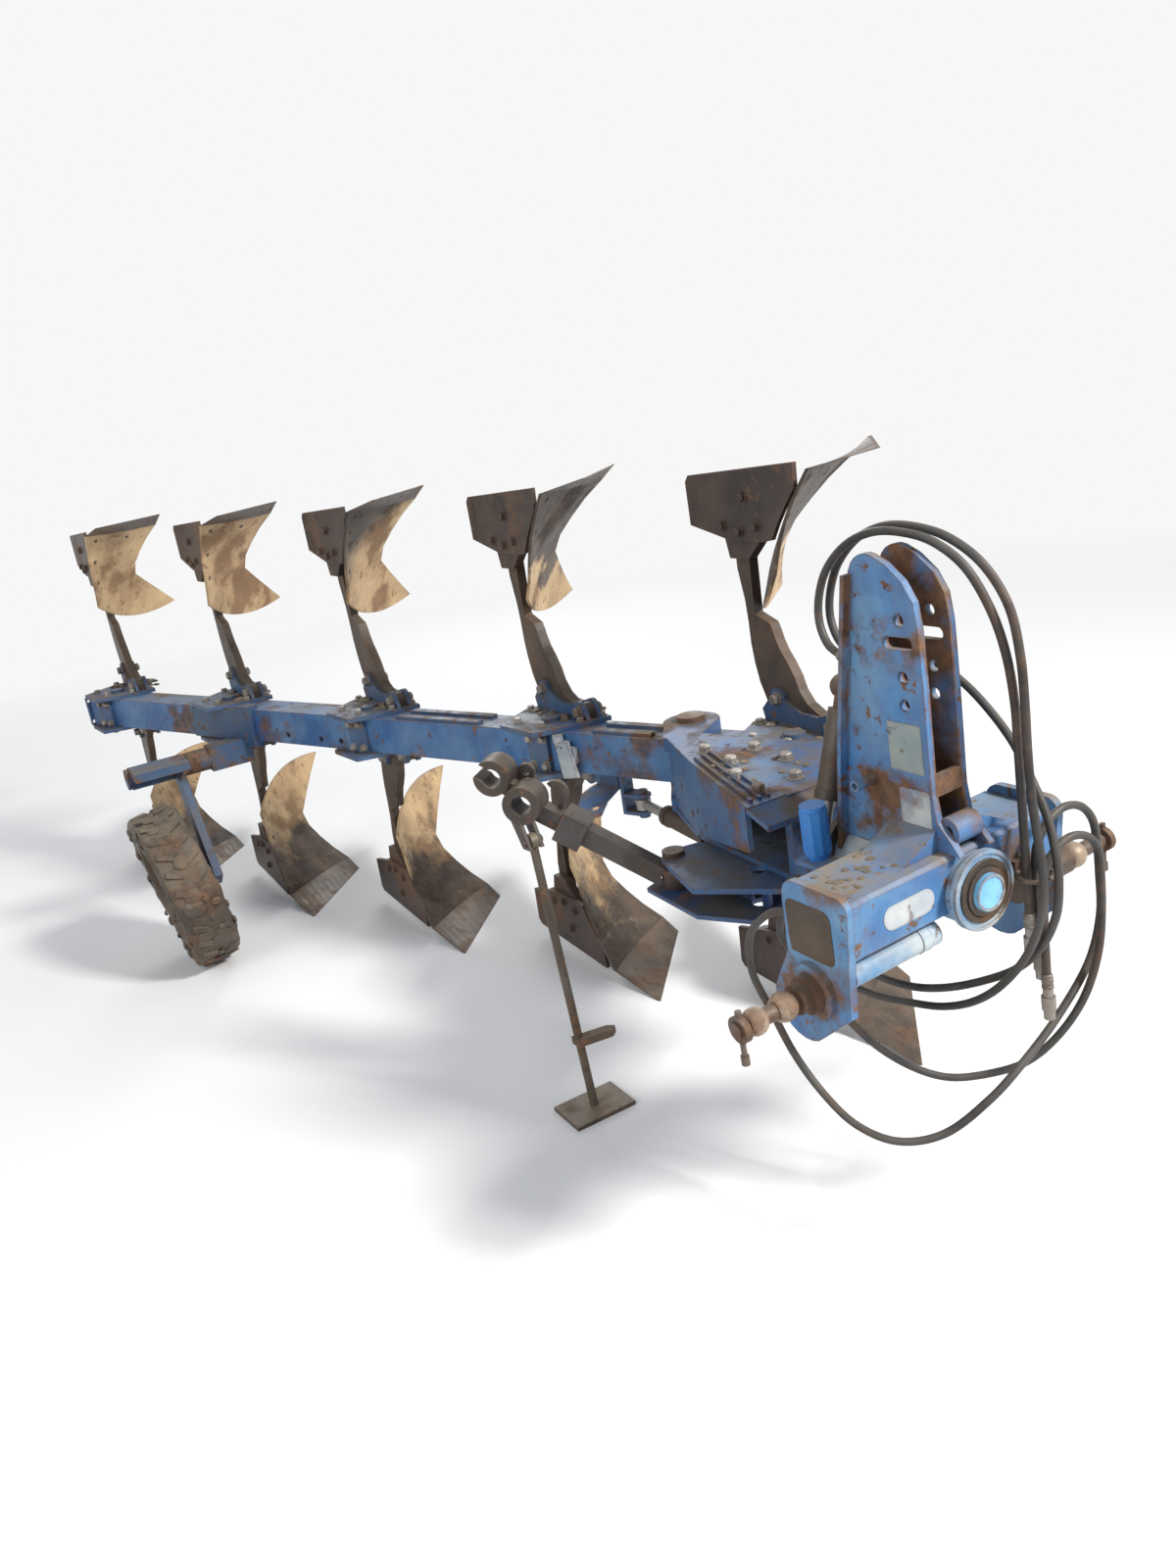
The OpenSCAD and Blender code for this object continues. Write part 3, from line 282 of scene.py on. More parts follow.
def turned(name, section, steps=64):
    """A ring or disc spun about Z from a closed section of (radius, height) points."""
    bpy.ops.object.select_all(action="DESELECT")
    bpy.ops.mesh.primitive_circle_add(
        vertices=len(section), radius=1, fill_type="NOTHING", location=(0, 0, 0))
    piece = bpy.context.object
    piece.name = name
    for vertex, (radius, height) in zip(piece.data.vertices, section):
        vertex.co = (radius, 0, height)
    bpy.ops.object.mode_set(mode="EDIT")
    bpy.ops.mesh.select_all(action="SELECT")
    bpy.ops.mesh.spin(steps=steps, angle=2 * math.pi, center=(0, 0, 0), axis=(0, 0, 1))
    bpy.ops.mesh.select_all(action="SELECT")
    bpy.ops.mesh.remove_doubles(threshold=0.00002)
    bpy.ops.mesh.normals_make_consistent(inside=False)
    bpy.ops.object.mode_set(mode="OBJECT")
    return piece


def settle(piece, place, finish, body):
    """Puts a finished piece in its place in the mesh, with its finish, and lets it ride on a body."""
    piece.data.transform(place)
    piece.data.materials.clear()
    piece.data.materials.append(finish)
    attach(piece, body)


def spread(master, name, places, finish, body):
    """Copies of a master piece, one at each place, joined into one piece that rides on a body."""
    copies = []
    for place in places:
        copy = master.copy()
        copy.data = master.data.copy()
        copy.data.transform(place)
        bpy.context.scene.collection.objects.link(copy)
        copies.append(copy)
    bpy.ops.object.select_all(action="DESELECT")
    for copy in copies:
        copy.select_set(True)
    bpy.context.view_layer.objects.active = copies[0]
    bpy.ops.object.join()
    piece = bpy.context.object
    piece.name = name
    settle(piece, Matrix.Identity(4), finish, body)
    return piece


crimp_steel = weathered("crimp_steel", (0.16, 0.15, 0.135), (0.30, 0.28, 0.25), (0.08, 0.05, 0.03),
                        (0.26, 0.22, 0.17), 0.9, 0.5, 0.4, 0.5, 0.5, 0.0005)
crimp = turned("crimp", (
    (0.0092, 0), (0.0125, 0), (0.0125, 0.006), (0.0115, 0.007), (0.0115, 0.011), (0.0125, 0.012),
    (0.0125, 0.024), (0.0115, 0.025), (0.0115, 0.029), (0.0120, 0.030), (0.0092, 0.034),
), 20)
hose_rubber = weathered("hose_rubber", (0.022, 0.021, 0.021), (0.070, 0.066, 0.062), (0.03, 0.026, 0.022),
                        (0.20, 0.17, 0.13), 1.0, 0.3, 0.0, 0.40, 0.0, 0.0006)
for hose_name, points, far_end, on_it in (
    ("hose_outer", outer_route, "connector", ["hose_couplers"]),
    ("hose_inner", inner_route, "connector", []),
    ("hose_tower", tower_route, "connector", []),
    ("hose_feed", feed_route, "object", []),
    ("hose_twin", twin_route, "object", []),
):
    line = [head_frame @ point for point in smooth_route(points)]
    hose_curve = bpy.data.curves.new(hose_name + "_tube", "CURVE")
    hose_curve.dimensions = "3D"
    hose_curve.bevel_depth = hose_radius
    hose_curve.bevel_resolution = 3
    hose_curve.use_fill_caps = True
    hose_line = hose_curve.splines.new("POLY")
    hose_line.points.add(len(line) - 1)
    for spot, point in zip(hose_line.points, line):
        spot.co = (*point, 1)
    hose_line.use_smooth = True
    hose = bpy.data.objects.new(hose_name + "_tube", hose_curve)
    bpy.context.scene.collection.objects.link(hose)
    hose_curve.materials.append(hose_rubber)
    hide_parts(hose_name)
    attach(hose, "headstock")
    ends = []
    for spot, inside in ((line[0], line[1]), (line[-1], line[-2])):
        upright = (inside - spot).to_track_quat("Z", "Y").to_matrix().to_4x4()
        ends.append(Matrix.Translation(spot + (inside - spot).normalized() * 0.0005) @ upright)
    crimps = spread(crimp, hose_name + "_crimps", ends, crimp_steel, "headstock")
bpy.data.objects.remove(crimp)

# Floor: a plain pale sheet that keeps the plough's shadow.
# Seen by the camera it is near white; it fades into the backdrop of the same colour.
bpy.ops.object.select_all(action="DESELECT")
bpy.ops.mesh.primitive_plane_add(size=60, location=(0, 0, 0))
floor = bpy.context.object
floor.name = "floor"
floor_paint = bpy.data.materials.new("floor_pale")
floor_paint.use_nodes = True
floor_shader = floor_paint.node_tree.nodes["Principled BSDF"]
floor_shader.inputs["Base Color"].default_value = (0.82, 0.81, 0.79, 1)
floor_shader.inputs["Roughness"].default_value = 0.9
floor.data.materials.append(floor_paint)
floor_tree = floor_paint.node_tree
floor_place = floor_tree.nodes.new("ShaderNodeTexCoord")
floor_far = floor_tree.nodes.new("ShaderNodeVectorMath")
floor_far.operation = "LENGTH"
floor_fade = floor_tree.nodes.new("ShaderNodeMapRange")
floor_fade.inputs["From Min"].default_value = 3.2
floor_fade.inputs["From Max"].default_value = 9.0
floor_blank = floor_tree.nodes.new("ShaderNodeEmission")
floor_blank.inputs["Color"].default_value = (0.93, 0.93, 0.93, 1)
floor_mix = floor_tree.nodes.new("ShaderNodeMixShader")
floor_tree.links.new(floor_place.outputs["Object"], floor_far.inputs[0])
floor_tree.links.new(floor_far.outputs["Value"], floor_fade.inputs["Value"])
floor_tree.links.new(floor_fade.outputs["Result"], floor_mix.inputs["Fac"])
floor_tree.links.new(floor_shader.outputs[0], floor_mix.inputs[1])
floor_tree.links.new(floor_blank.outputs[0], floor_mix.inputs[2])
floor_tree.links.new(floor_mix.outputs[0], floor_tree.nodes["Material Output"].inputs["Surface"])

# Light: one large soft lamp high on the camera's right, as the low sun stands in the yard,
# a weak one from the left, and a pale world that the camera sees as white.
def soft_lamp(name, place, aim, size, power):
    lamp_data = bpy.data.lights.new(name, "AREA")
    lamp_data.shape = "SQUARE"
    lamp_data.size = size
    lamp_data.energy = power
    lamp = bpy.data.objects.new(name, lamp_data)
    lamp.location = place
    lamp.rotation_euler = (Vector(aim) - Vector(place)).to_track_quat("-Z", "Y").to_euler()
    bpy.context.scene.collection.objects.link(lamp)

soft_lamp("sun_side", (3.4, -7.5, 6.5), (0, -0.6, 0.6), 1.5, 1080)
soft_lamp("yard_side", (-7.0, -2.5, 4.5), (0, 0, 0.8), 4.0, 210)
soft_lamp("far_side", (4.0, 7.0, 5.0), (0, 0, 0.8), 4.0, 260)
world = bpy.data.worlds.new("pale_sky")
bpy.context.scene.world = world
world.use_nodes = True
sky_nodes = world.node_tree.nodes
sky_links = world.node_tree.links
sky_nodes.clear()
sky_out = sky_nodes.new("ShaderNodeOutputWorld")
sky_mix = sky_nodes.new("ShaderNodeMixShader")
sky_soft = sky_nodes.new("ShaderNodeBackground")
sky_seen = sky_nodes.new("ShaderNodeBackground")
sky_path = sky_nodes.new("ShaderNodeLightPath")
sky_soft.inputs["Color"].default_value = (0.86, 0.91, 1.0, 1)
sky_soft.inputs["Strength"].default_value = 0.50
sky_seen.inputs["Color"].default_value = (0.93, 0.93, 0.93, 1)
sky_seen.inputs["Strength"].default_value = 1.0
sky_any = sky_nodes.new("ShaderNodeMath")
sky_any.operation = "MAXIMUM"
sky_seen_by = sky_nodes.new("ShaderNodeMath")
sky_seen_by.operation = "MAXIMUM"
sky_links.new(sky_path.outputs["Is Camera Ray"], sky_any.inputs[0])
sky_links.new(sky_path.outputs["Is Glossy Ray"], sky_any.inputs[1])
sky_links.new(sky_any.outputs[0], sky_seen_by.inputs[0])
sky_links.new(sky_path.outputs["Is Transmission Ray"], sky_seen_by.inputs[1])
sky_links.new(sky_seen_by.outputs[0], sky_mix.inputs["Fac"])
sky_links.new(sky_soft.outputs[0], sky_mix.inputs[1])
sky_links.new(sky_seen.outputs[0], sky_mix.inputs[2])
sky_links.new(sky_mix.outputs[0], sky_out.inputs["Surface"])
bpy.context.scene.view_settings.view_transform = "Standard"

# Headstock: a welded hollow cross beam, end plates and a two-plate tower, flame cut and painted blue.
# The paint has faded, chipped along every edge and gone dusty on top; bare rust runs down the tower.
rust_dark = (0.040, 0.024, 0.017)
yard_dust = (0.26, 0.215, 0.155)
headstock_blue = weathered("headstock_blue", (0.030, 0.135, 0.330), (0.145, 0.325, 0.505),
                           (0.085, 0.045, 0.028), (0.22, 0.18, 0.13), 0.85, 0.95, 1.0, 0.95)
dress(headstock_blue, "headstock_box", "hose_stub", "canister_bracket")
tower_blue = weathered("tower_blue", (0.028, 0.130, 0.335), (0.130, 0.310, 0.510), (0.060, 0.032, 0.022),
                       (0.20, 0.165, 0.12), 0.85, 1.0, 1.0, 0.85)
# the tower rusts on the inner faces of its plates, on the rear flanges and round the slot
rust_tree = tower_blue.node_tree
rust_place = wear_node(rust_tree, "ShaderNodeTexCoord", (-2400, 0))
rust_home = wear_node(rust_tree, "ShaderNodeMapping", (-2200, 0))
rust_home.inputs["Location"].default_value = head_frame.inverted().translation
rust_home.inputs["Rotation"].default_value = (0, -head_roll, 0)
rust_axes = wear_node(rust_tree, "ShaderNodeSeparateXYZ", (-2000, 0))
rust_tree.links.new(rust_place.outputs["Object"], rust_home.inputs["Vector"])
rust_tree.links.new(rust_home.outputs["Vector"], rust_axes.inputs[0])
from_middle = sums(rust_tree, (-1800, 0), "ABSOLUTE", rust_axes.outputs["X"], 0)


def ramp(tree, place, value, start, end):
    node = wear_node(tree, "ShaderNodeMapRange", place)
    node.inputs["From Min"].default_value = start
    node.inputs["From Max"].default_value = end
    tree.links.new(value, node.inputs["Value"])
    return node.outputs["Result"]


inner_face = ramp(rust_tree, (-1600, 200), from_middle, 0.044, 0.037)
inner_clouds = noise_band(rust_tree, (-1400, 400), 6, 6, 0.38, 0.55)
inner_rust = sums(rust_tree, (-1200, 200), "MULTIPLY", inner_face, inner_clouds)
flange = ramp(rust_tree, (-1600, -100), from_middle, 0.049, 0.056)
flange_rust = sums(rust_tree, (-1200, -100), "MULTIPLY", flange,
                   noise_band(rust_tree, (-1400, -300), 14, 6, 0.40, 0.54, (1, 1, 0.25)))
slot_height = 0.512
above_slot = sums(rust_tree, (-1900, -600), "SUBTRACT", rust_axes.outputs["Z"], slot_height)
slot_high = sums(rust_tree, (-1800, -600), "ABSOLUTE", above_slot, 0)
slot_across = ramp(rust_tree, (-1600, -600), slot_high, 0.075, 0.015)
slot_clouds = noise_band(rust_tree, (-1400, -700), 17, 7, 0.40, 0.56)
slot_rust = sums(rust_tree, (-1200, -600), "MULTIPLY", slot_across, slot_clouds)
both = sums(rust_tree, (-1000, 0), "MAXIMUM", inner_rust, flange_rust)
tower_rust = sums(rust_tree, (-800, -200), "MAXIMUM", both, slot_rust)
rust_tree.links.new(tower_rust, rust_tree.nodes["Group"].inputs["Zone"])
dress(tower_blue, "tower")
pale_blue = weathered("pale_blue", (0.10, 0.25, 0.43), (0.50, 0.54, 0.52), (0.11, 0.065, 0.042),
                      yard_dust, 1.0, 0.8, 1.0, 0.65)
dress(pale_blue, "turnover_housing", "front_tube")
link_steel = weathered("link_steel", (0.060, 0.046, 0.038), (0.15, 0.115, 0.09), (0.055, 0.028, 0.018),
                       (0.20, 0.165, 0.12), 0.9, 0.7, 0.4, 0.5, 0.35)
dress(link_steel, "link_pins", "linch_pins", "tower_lug", "turnover_axle", "turnover_barrel", "hose_ring")
ball_brown = weathered("ball_brown", (0.26, 0.18, 0.12), (0.50, 0.41, 0.31), (0.085, 0.045, 0.028),
                       yard_dust, 1.0, 0.8, 0.4, 0.4, 0.25)
dress(ball_brown, "link_balls")
rod_steel = weathered("rod_steel", (0.30, 0.29, 0.27), (0.42, 0.41, 0.38), (0.12, 0.07, 0.04),
                      yard_dust, 0.8, 0.35, 0.2, 0.5, 0.7)
dress(rod_steel, "turnover_rod", "swing_rod", "hose_couplers", "hose_glands")
holder_blue = weathered("holder_blue", (0.020, 0.165, 0.50), (0.060, 0.29, 0.66), (0.04, 0.03, 0.03),
                        yard_dust, 0.8, 0.1, 0.2, 0.3)
dress(holder_blue, "canister")
cap_blue = weathered("cap_blue", (0.10, 0.36, 0.62), (0.30, 0.58, 0.74), (0.10, 0.07, 0.05),
                     yard_dust, 0.9, 0.3, 0.9, 0.3)
dress(cap_blue, "axle_cap")

# Blank patches on the headstock: a bare dark panel on the end plate, and pale patches where stickers were.
# Each is a sheet of old film or bare steel a millimetre thick, with rounded corners and a ragged finish.
patch_thick = 0.0012


def patch(name, finish, low, high, face, corner, home, body):
    """A thin panel from low to high on a flat face, with rounded corners; face gives its axis and level."""
    axis, level = face
    bpy.ops.object.select_all(action="DESELECT")
    bpy.ops.mesh.primitive_plane_add(size=1, location=(0, 0, 0))
    panel = bpy.context.object
    panel.name = name
    panel.scale = (high[0] - low[0], high[1] - low[1], 1)
    bpy.ops.object.transform_apply(location=True, rotation=True, scale=True)
    bpy.ops.object.mode_set(mode="EDIT")
    bpy.ops.mesh.select_all(action="SELECT")
    bpy.ops.mesh.bevel(offset=corner, segments=5, affect="VERTICES")
    bpy.ops.mesh.extrude_region_move(TRANSFORM_OT_translate={"value": (0, 0, patch_thick)})
    bpy.ops.mesh.select_all(action="SELECT")
    bpy.ops.mesh.normals_make_consistent(inside=False)
    bpy.ops.object.mode_set(mode="OBJECT")
    middle = ((low[0] + high[0]) / 2, (low[1] + high[1]) / 2)
    if axis == "-X":
        lay = Matrix(((0, 0, -1, level), (-1, 0, 0, middle[0]), (0, 1, 0, middle[1]), (0, 0, 0, 1)))
    else:
        lay = Matrix(((1, 0, 0, middle[0]), (0, 0, -1, level), (0, 1, 0, middle[1]), (0, 0, 0, 1)))
    panel.data.transform(home @ lay)
    panel.data.materials.append(finish)
    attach(panel, body)
    return panel


bare_panel = weathered("bare_panel", (0.026, 0.021, 0.016), (0.10, 0.065, 0.040), (0.03, 0.02, 0.014),
                       (0.20, 0.16, 0.11), 0.9, 0.4, 0.5, 0.45, 0.1)
old_film = weathered("old_film", (0.36, 0.40, 0.42), (0.66, 0.64, 0.58), (0.16, 0.22, 0.30),
                     (0.40, 0.36, 0.30), 1.0, 0.9, 0.9, 0.35)
old_glue = weathered("old_glue", (0.20, 0.26, 0.27), (0.34, 0.34, 0.27), (0.10, 0.13, 0.16),
                     (0.30, 0.27, 0.20), 1.0, 1.0, 1.0, 0.5)
end_face = -0.330 - 0.018
box_face = -0.096
plate_face = -0.050
for patch_name, finish, low, high, face, corner in (
    ("end_plate_panel", bare_panel, (-0.062, -0.052), (0.070, 0.068), ("-X", end_face), 0.020),
    ("box_front_film", old_film, (-0.245, -0.006), (-0.108, 0.046), ("-Y", box_face), 0.025),
    ("tower_upper_film", old_glue, (-0.044, 0.248), (0.046, 0.352), ("-X", plate_face), 0.004),
    ("tower_lower_film", old_film, (-0.052, 0.112), (0.030, 0.212), ("-X", plate_face), 0.008),
):
    patch(patch_name, finish, low, high, face, corner, head_frame, "headstock")

# Turnover bearing: the flange's raised lip, the dark seal round the axle and the cap's own lip.
# All are turned steel on the front faces of the housing and of the cap, on the axle's line.
along_y = Matrix.Rotation(math.radians(-90), 4, "X")
flange_face = -0.126
cap_face = -0.144
for ring_name, inner, outer, face, proud, finish, body in (
    ("flange_lip", 0.0765, 0.0855, flange_face, 0.0035, pale_blue, "headstock"),
    ("seal_ring", 0.0535, 0.0680, flange_face, 0.0045, bare_panel, "headstock"),
    ("cap_lip", 0.0330, 0.0392, cap_face, 0.0020, pale_blue, "turner"),
):
    low = face - proud
    high = face - 0.0002
    ring = turned(ring_name, ((inner, high), (inner, low + 0.001), (inner + 0.001, low), (outer - 0.001, low),
                              (outer, low + 0.001), (outer, high)))
    settle(ring, head_frame @ along_y, finish, body)

# Turning head and console: welded plate boxes that hold the beam's front end; blue paint, soil on their tops.
# Hexagon bolts with washers and pale worn heads stand on the head's top plate and under the console.
head_blue = weathered("head_blue", (0.018, 0.080, 0.210), (0.060, 0.155, 0.285), rust_dark,
                      (0.115, 0.09, 0.065), 0.75, 1.0, 1.0, 1.0)
dress(head_blue, "turning_head", "slot_plate", "swing_lug")
console_blue = weathered("console_blue", (0.011, 0.060, 0.170), (0.040, 0.115, 0.235), rust_dark,
                         (0.12, 0.10, 0.075), 0.6, 0.8, 0.8, 0.9)
dress(console_blue, "console")
pin_rust = weathered("pin_rust", (0.060, 0.038, 0.028), (0.13, 0.088, 0.062), rust_dark, (0.18, 0.145, 0.10),
                     0.9, 0.6, 0.5, 0.6, 0.2)
dress(pin_rust, "swing_pin_piece", "catch_pivot", "swing_cyl_pin", "swing_barrel")
bolt_steel = weathered("bolt_steel", (0.17, 0.155, 0.135), (0.38, 0.36, 0.33), (0.08, 0.05, 0.035),
                       yard_dust, 1.0, 0.5, 0.5, 0.4, 0.45, 0.0006)


def hex_bolt(name, across, height):
    """A bolt head with its washer and the chamfer of its top, seated at height 0 and pointing up Z."""
    radius = across / 2
    washer_top = 0.003
    head = turned(name, ((0, washer_top), (radius, washer_top), (radius, height * 0.82),
                         (radius * 0.86, height), (0, height)), 6)
    washer = turned(name + "_washer", ((0, 0), (radius * 1.25, 0), (radius * 1.25, 0.0025),
                                       (radius * 1.2, washer_top), (0, washer_top)), 20)
    bpy.ops.object.select_all(action="DESELECT")
    washer.select_set(True)
    head.select_set(True)
    bpy.context.view_layer.objects.active = head
    bpy.ops.object.join()
    return head


def up_at(home, x, y, z, down=False):
    """A place in a frame, Z up or turned over."""
    return home @ Matrix.Translation((x, y, z)) @ Matrix.Rotation(math.pi if down else 0, 4, "X")


axis_frame = Matrix.Translation(datum + Vector((0, 0, axis_height)))
head_top = 0.112
console_low = -0.212
big_bolt = hex_bolt("big_bolt", 0.034, 0.020)
head_bolt_spots = ((-0.085, 0.470), (0.030, 0.470), (0.170, 0.460), (-0.050, 0.600),
                   (0.110, 0.600), (0.010, 0.700), (0.120, 0.740), (0.030, 0.840))
spread(big_bolt, "head_bolts", [up_at(axis_frame, x, y, head_top) for x, y in head_bolt_spots],
       bolt_steel, "turner")
console_bolt_spots = ((-0.120, 0.560), (0.060, 0.520), (0.080, 0.700), (-0.010, 0.620))
spread(big_bolt, "console_bolts", [up_at(axis_frame, x, y, console_low, True) for x, y in console_bolt_spots],
       bolt_steel, "turner")

# Main beam: a long square tube in faded blue with whitish scuffs; brackets of the bodies are bolted round it.
# Each bracket pair has plates above and below, clamp plates beside the beam, and bolts through leg and ears.
beam_blue = weathered("beam_blue", (0.018, 0.088, 0.240), (0.095, 0.215, 0.375), rust_dark,
                      (0.17, 0.14, 0.10), 0.85, 0.85, 1.0, 0.8)
dress(beam_blue, "main_beam", "beam_end_plate")
bracket_blue = weathered("bracket_blue", (0.020, 0.072, 0.175), (0.070, 0.135, 0.215),
                         (0.026, 0.018, 0.014), (0.125, 0.10, 0.072), 0.7, 1.0, 1.0, 1.0)
dress(bracket_blue, "body_brackets", "top_bars")
link_pale = weathered("link_pale", (0.20, 0.25, 0.30), (0.42, 0.44, 0.43), rust_dark, yard_dust,
                      1.0, 0.9, 1.0, 0.7)
dress(link_pale, "near_link")
beam_angle = math.radians(20.5)
beam_start = Vector((0.354, 0.712, axis_height))
half_beam = 0.066
plate_over = 0.016
leg_side = 0.100
first_body = 0.106
body_spacing = 0.900
beam_frame = Matrix.Translation(datum + beam_start) @ Matrix.Rotation(beam_angle, 4, "Z")


def leg_frame(k):
    """The upright frame at a body's leg, square to the direction of travel."""
    spot = beam_frame @ Vector((leg_side, first_body + k * body_spacing, 0))
    return Matrix.Translation(spot)


small_bolt = hex_bolt("small_bolt", 0.026, 0.015)
plate_spots = ((-0.150, -0.070), (-0.045, -0.145), (0.034, -0.150),
               (-0.170, 0.055), (-0.065, 0.155), (0.034, 0.145))
plate_bolts = []
ear_bolts = []
clamp_bolts = []
ear_face = 0.016 + 0.0002 + 0.014
for k in range(5):
    leg = leg_frame(k)
    for up in (1, -1):
        level = up * (half_beam + plate_over)
        plate_bolts += [up_at(leg, x, y, level, up < 0) for x, y in plate_spots]
        for y, z in ((0.108, half_beam + 0.088), (-0.118, half_beam + 0.040)):
            for side in (1, -1):
                turn_out = Matrix.Rotation(math.radians(90 * side), 4, "Y")
                ear_bolts.append(leg @ Matrix.Translation((side * ear_face, y, up * z)) @ turn_out)
    for side in (1, -1):
        if k == 3 and side < 0:
            continue
        for y, z in ((-0.028, 0.045), (0.028, 0.045), (-0.028, -0.045), (0.028, -0.045)):
            place = Matrix.Translation((side * (half_beam + 0.018), first_body + k * body_spacing + y, z))
            clamp_bolts.append(beam_frame @ place @ Matrix.Rotation(math.radians(90 * side), 4, "Y"))
spread(small_bolt, "bracket_bolts", plate_bolts, bolt_steel, "frame")
spread(big_bolt, "leg_bolts", ear_bolts, bolt_steel, "frame")
spread(small_bolt, "clamp_bolts", clamp_bolts, bolt_steel, "frame")

# Bodies: forged legs and landsides in dark rust; mouldboards with dried soil on the face, dark behind.
# Plough bolts, flush with the face, hold share and board; hexagon bolts hold landside and frog.
leg_brown = weathered("leg_brown", (0.036, 0.026, 0.021), (0.085, 0.062, 0.046), (0.17, 0.125, 0.08),
                      (0.20, 0.155, 0.105), 0.9, 0.25, 1.0, 0.5)
dress(leg_brown, "upper_legs", "lower_legs")
land_brown = weathered("land_brown", (0.026, 0.021, 0.021), (0.068, 0.047, 0.040), (0.11, 0.078, 0.05),
                       (0.16, 0.12, 0.085), 1.0, 0.55, 0.6, 0.5)
dress(land_brown, "upper_landsides", "lower_landsides")


def two_faced(name, front, back):
    """The front finish where a sheet faces along the furrow, the back finish where it faces the frame."""
    finish = front.copy()
    finish.name = name
    tree = finish.node_tree
    near = tree.nodes["Group"]
    far = tree.nodes.new("ShaderNodeGroup")
    far.node_tree = wear
    far.location = (-600, -500)
    for target, value in zip(far.inputs, [s.default_value for s in back.node_tree.nodes["Group"].inputs]):
        target.default_value = value
    facing = wear_node(tree, "ShaderNodeNewGeometry", (-1400, 400))
    own = wear_node(tree, "ShaderNodeVectorTransform", (-1200, 400), vector_type="NORMAL",
                    convert_from="WORLD", convert_to="OBJECT")
    split = wear_node(tree, "ShaderNodeSeparateXYZ", (-1000, 400))
    share = wear_node(tree, "ShaderNodeMapRange", (-800, 400))
    share.inputs["From Min"].default_value = -0.12
    share.inputs["From Max"].default_value = 0.12
    tree.links.new(facing.outputs["True Normal"], own.inputs[0])
    tree.links.new(own.outputs[0], split.inputs[0])
    tree.links.new(split.outputs["Y"], share.inputs["Value"])
    tone = mixed(tree, (-400, 300), share.outputs["Result"], near.outputs["Color"], far.outputs["Color"])
    tree.links.new(tone, tree.nodes["Principled BSDF"].inputs["Base Color"])
    return finish


soil_front = weathered("soil_front", (0.33, 0.21, 0.105), (0.56, 0.385, 0.20), (0.11, 0.068, 0.040),
                       (0.50, 0.36, 0.21), 1.0, 0.8, 0.4, 0.5, 0.0, 0.0012)
board_back = weathered("board_back", (0.026, 0.021, 0.021), (0.062, 0.045, 0.037), (0.11, 0.078, 0.05),
                       (0.16, 0.12, 0.085), 0.9, 0.5, 0.4, 0.5)
board_finish = two_faced("board_soil", soil_front, board_back)
dress(board_finish, "upper_boards", "lower_boards")
# painted shade: the face goes near black low on the lower boards, and high on the upper boards of the two
# front bodies
soil_tree = board_finish.node_tree
soil_place = wear_node(soil_tree, "ShaderNodeTexCoord", (-2400, 0))
soil_axes = wear_node(soil_tree, "ShaderNodeSeparateXYZ", (-2200, 0))
soil_tree.links.new(soil_place.outputs["Object"], soil_axes.inputs[0])
ragged = noise_band(soil_tree, (-2000, -600), 7, 6, 0.34, 0.66)
ragged_step = sums(soil_tree, (-1800, -600), "MULTIPLY", ragged, 0.22)
height_here = sums(soil_tree, (-1800, -200), "SUBTRACT", soil_axes.outputs["Z"], ragged_step)
low_board_shade = ramp(soil_tree, (-1600, -200), height_here, 0.20, 0.06)
high_shade_band = ramp(soil_tree, (-1600, -400), height_here, 1.22, 1.28)
front_two = ramp(soil_tree, (-1600, -600), soil_axes.outputs["Y"], 0.35, 0.25)
high_front_shade = sums(soil_tree, (-1400, -400), "MULTIPLY", high_shade_band, front_two)
painted_shade_zone = sums(soil_tree, (-1300, -300), "MAXIMUM", low_board_shade, high_front_shade)
painted_shade_share = sums(soil_tree, (-1200, -300), "MULTIPLY", painted_shade_zone, 0.94)
# the near-black brown of the painted shade, mixed into the face colour inside these zones
painted_shade_tone = mixed(soil_tree, (-800, -300), noise_band(soil_tree, (-1000, -800), 9, 7, 0.42, 0.62),
                  (0.024, 0.019, 0.018, 1), (0.078, 0.055, 0.040, 1))
face_tone = mixed(soil_tree, (-600, -200), painted_shade_share, soil_tree.nodes["Group"].outputs["Color"], painted_shade_tone)
front_face_input = [s for s in soil_tree.nodes["Mix"].inputs if s.name == "A" and s.type == "RGBA"][0]
soil_tree.links.new(face_tone, front_face_input)
share_front = weathered("share_front", (0.034, 0.026, 0.022), (0.105, 0.074, 0.050), (0.026, 0.019, 0.016),
                        (0.20, 0.145, 0.095), 0.9, 0.6, 0.4, 0.5, 0.15, 0.0012)
share_finish = two_faced("share_soil", share_front, board_back)
dress(share_finish, "upper_shares", "lower_shares")
# the face's rows from the share to the beam side: share of the height, shin y, rear edge x and y, hollow
face_rows = (
    (0.00, -0.385, 0.304, 0.000, 0.000),
    (0.10, -0.152, 0.284, 0.060, 0.004),
    (0.22, -0.112, 0.238, 0.112, 0.010),
    (0.34, -0.076, 0.202, 0.156, 0.014),
    (0.46, -0.046, 0.174, 0.200, 0.018),
    (0.58, -0.022, 0.168, 0.240, 0.022),
    (0.70, -0.004, 0.226, 0.330, 0.028),
)
body_reach = 0.840


def face_point(row, along):
    """A point of the mouldboard's face in the leg's frame, by row and share of the way to the rear edge."""
    points = []
    for number in (int(row), int(row) + 1):
        high, shin_y, rear_x, rear_y, hollow = face_rows[number]
        start = Vector((-0.040 if number == 0 else -0.061, shin_y, 0))
        chord = Vector((rear_x, rear_y, 0)) - start
        back = Vector((-chord.y, chord.x, 0)).normalized()
        point = start + chord * along + back * (hollow * 4 * along * (1 - along))
        top = 0.470 - 0.300 * along + 0.215 * along * along
        point.z = body_reach - high * (body_reach - top)
        points.append(point)
    return points[0].lerp(points[1], row - int(row))


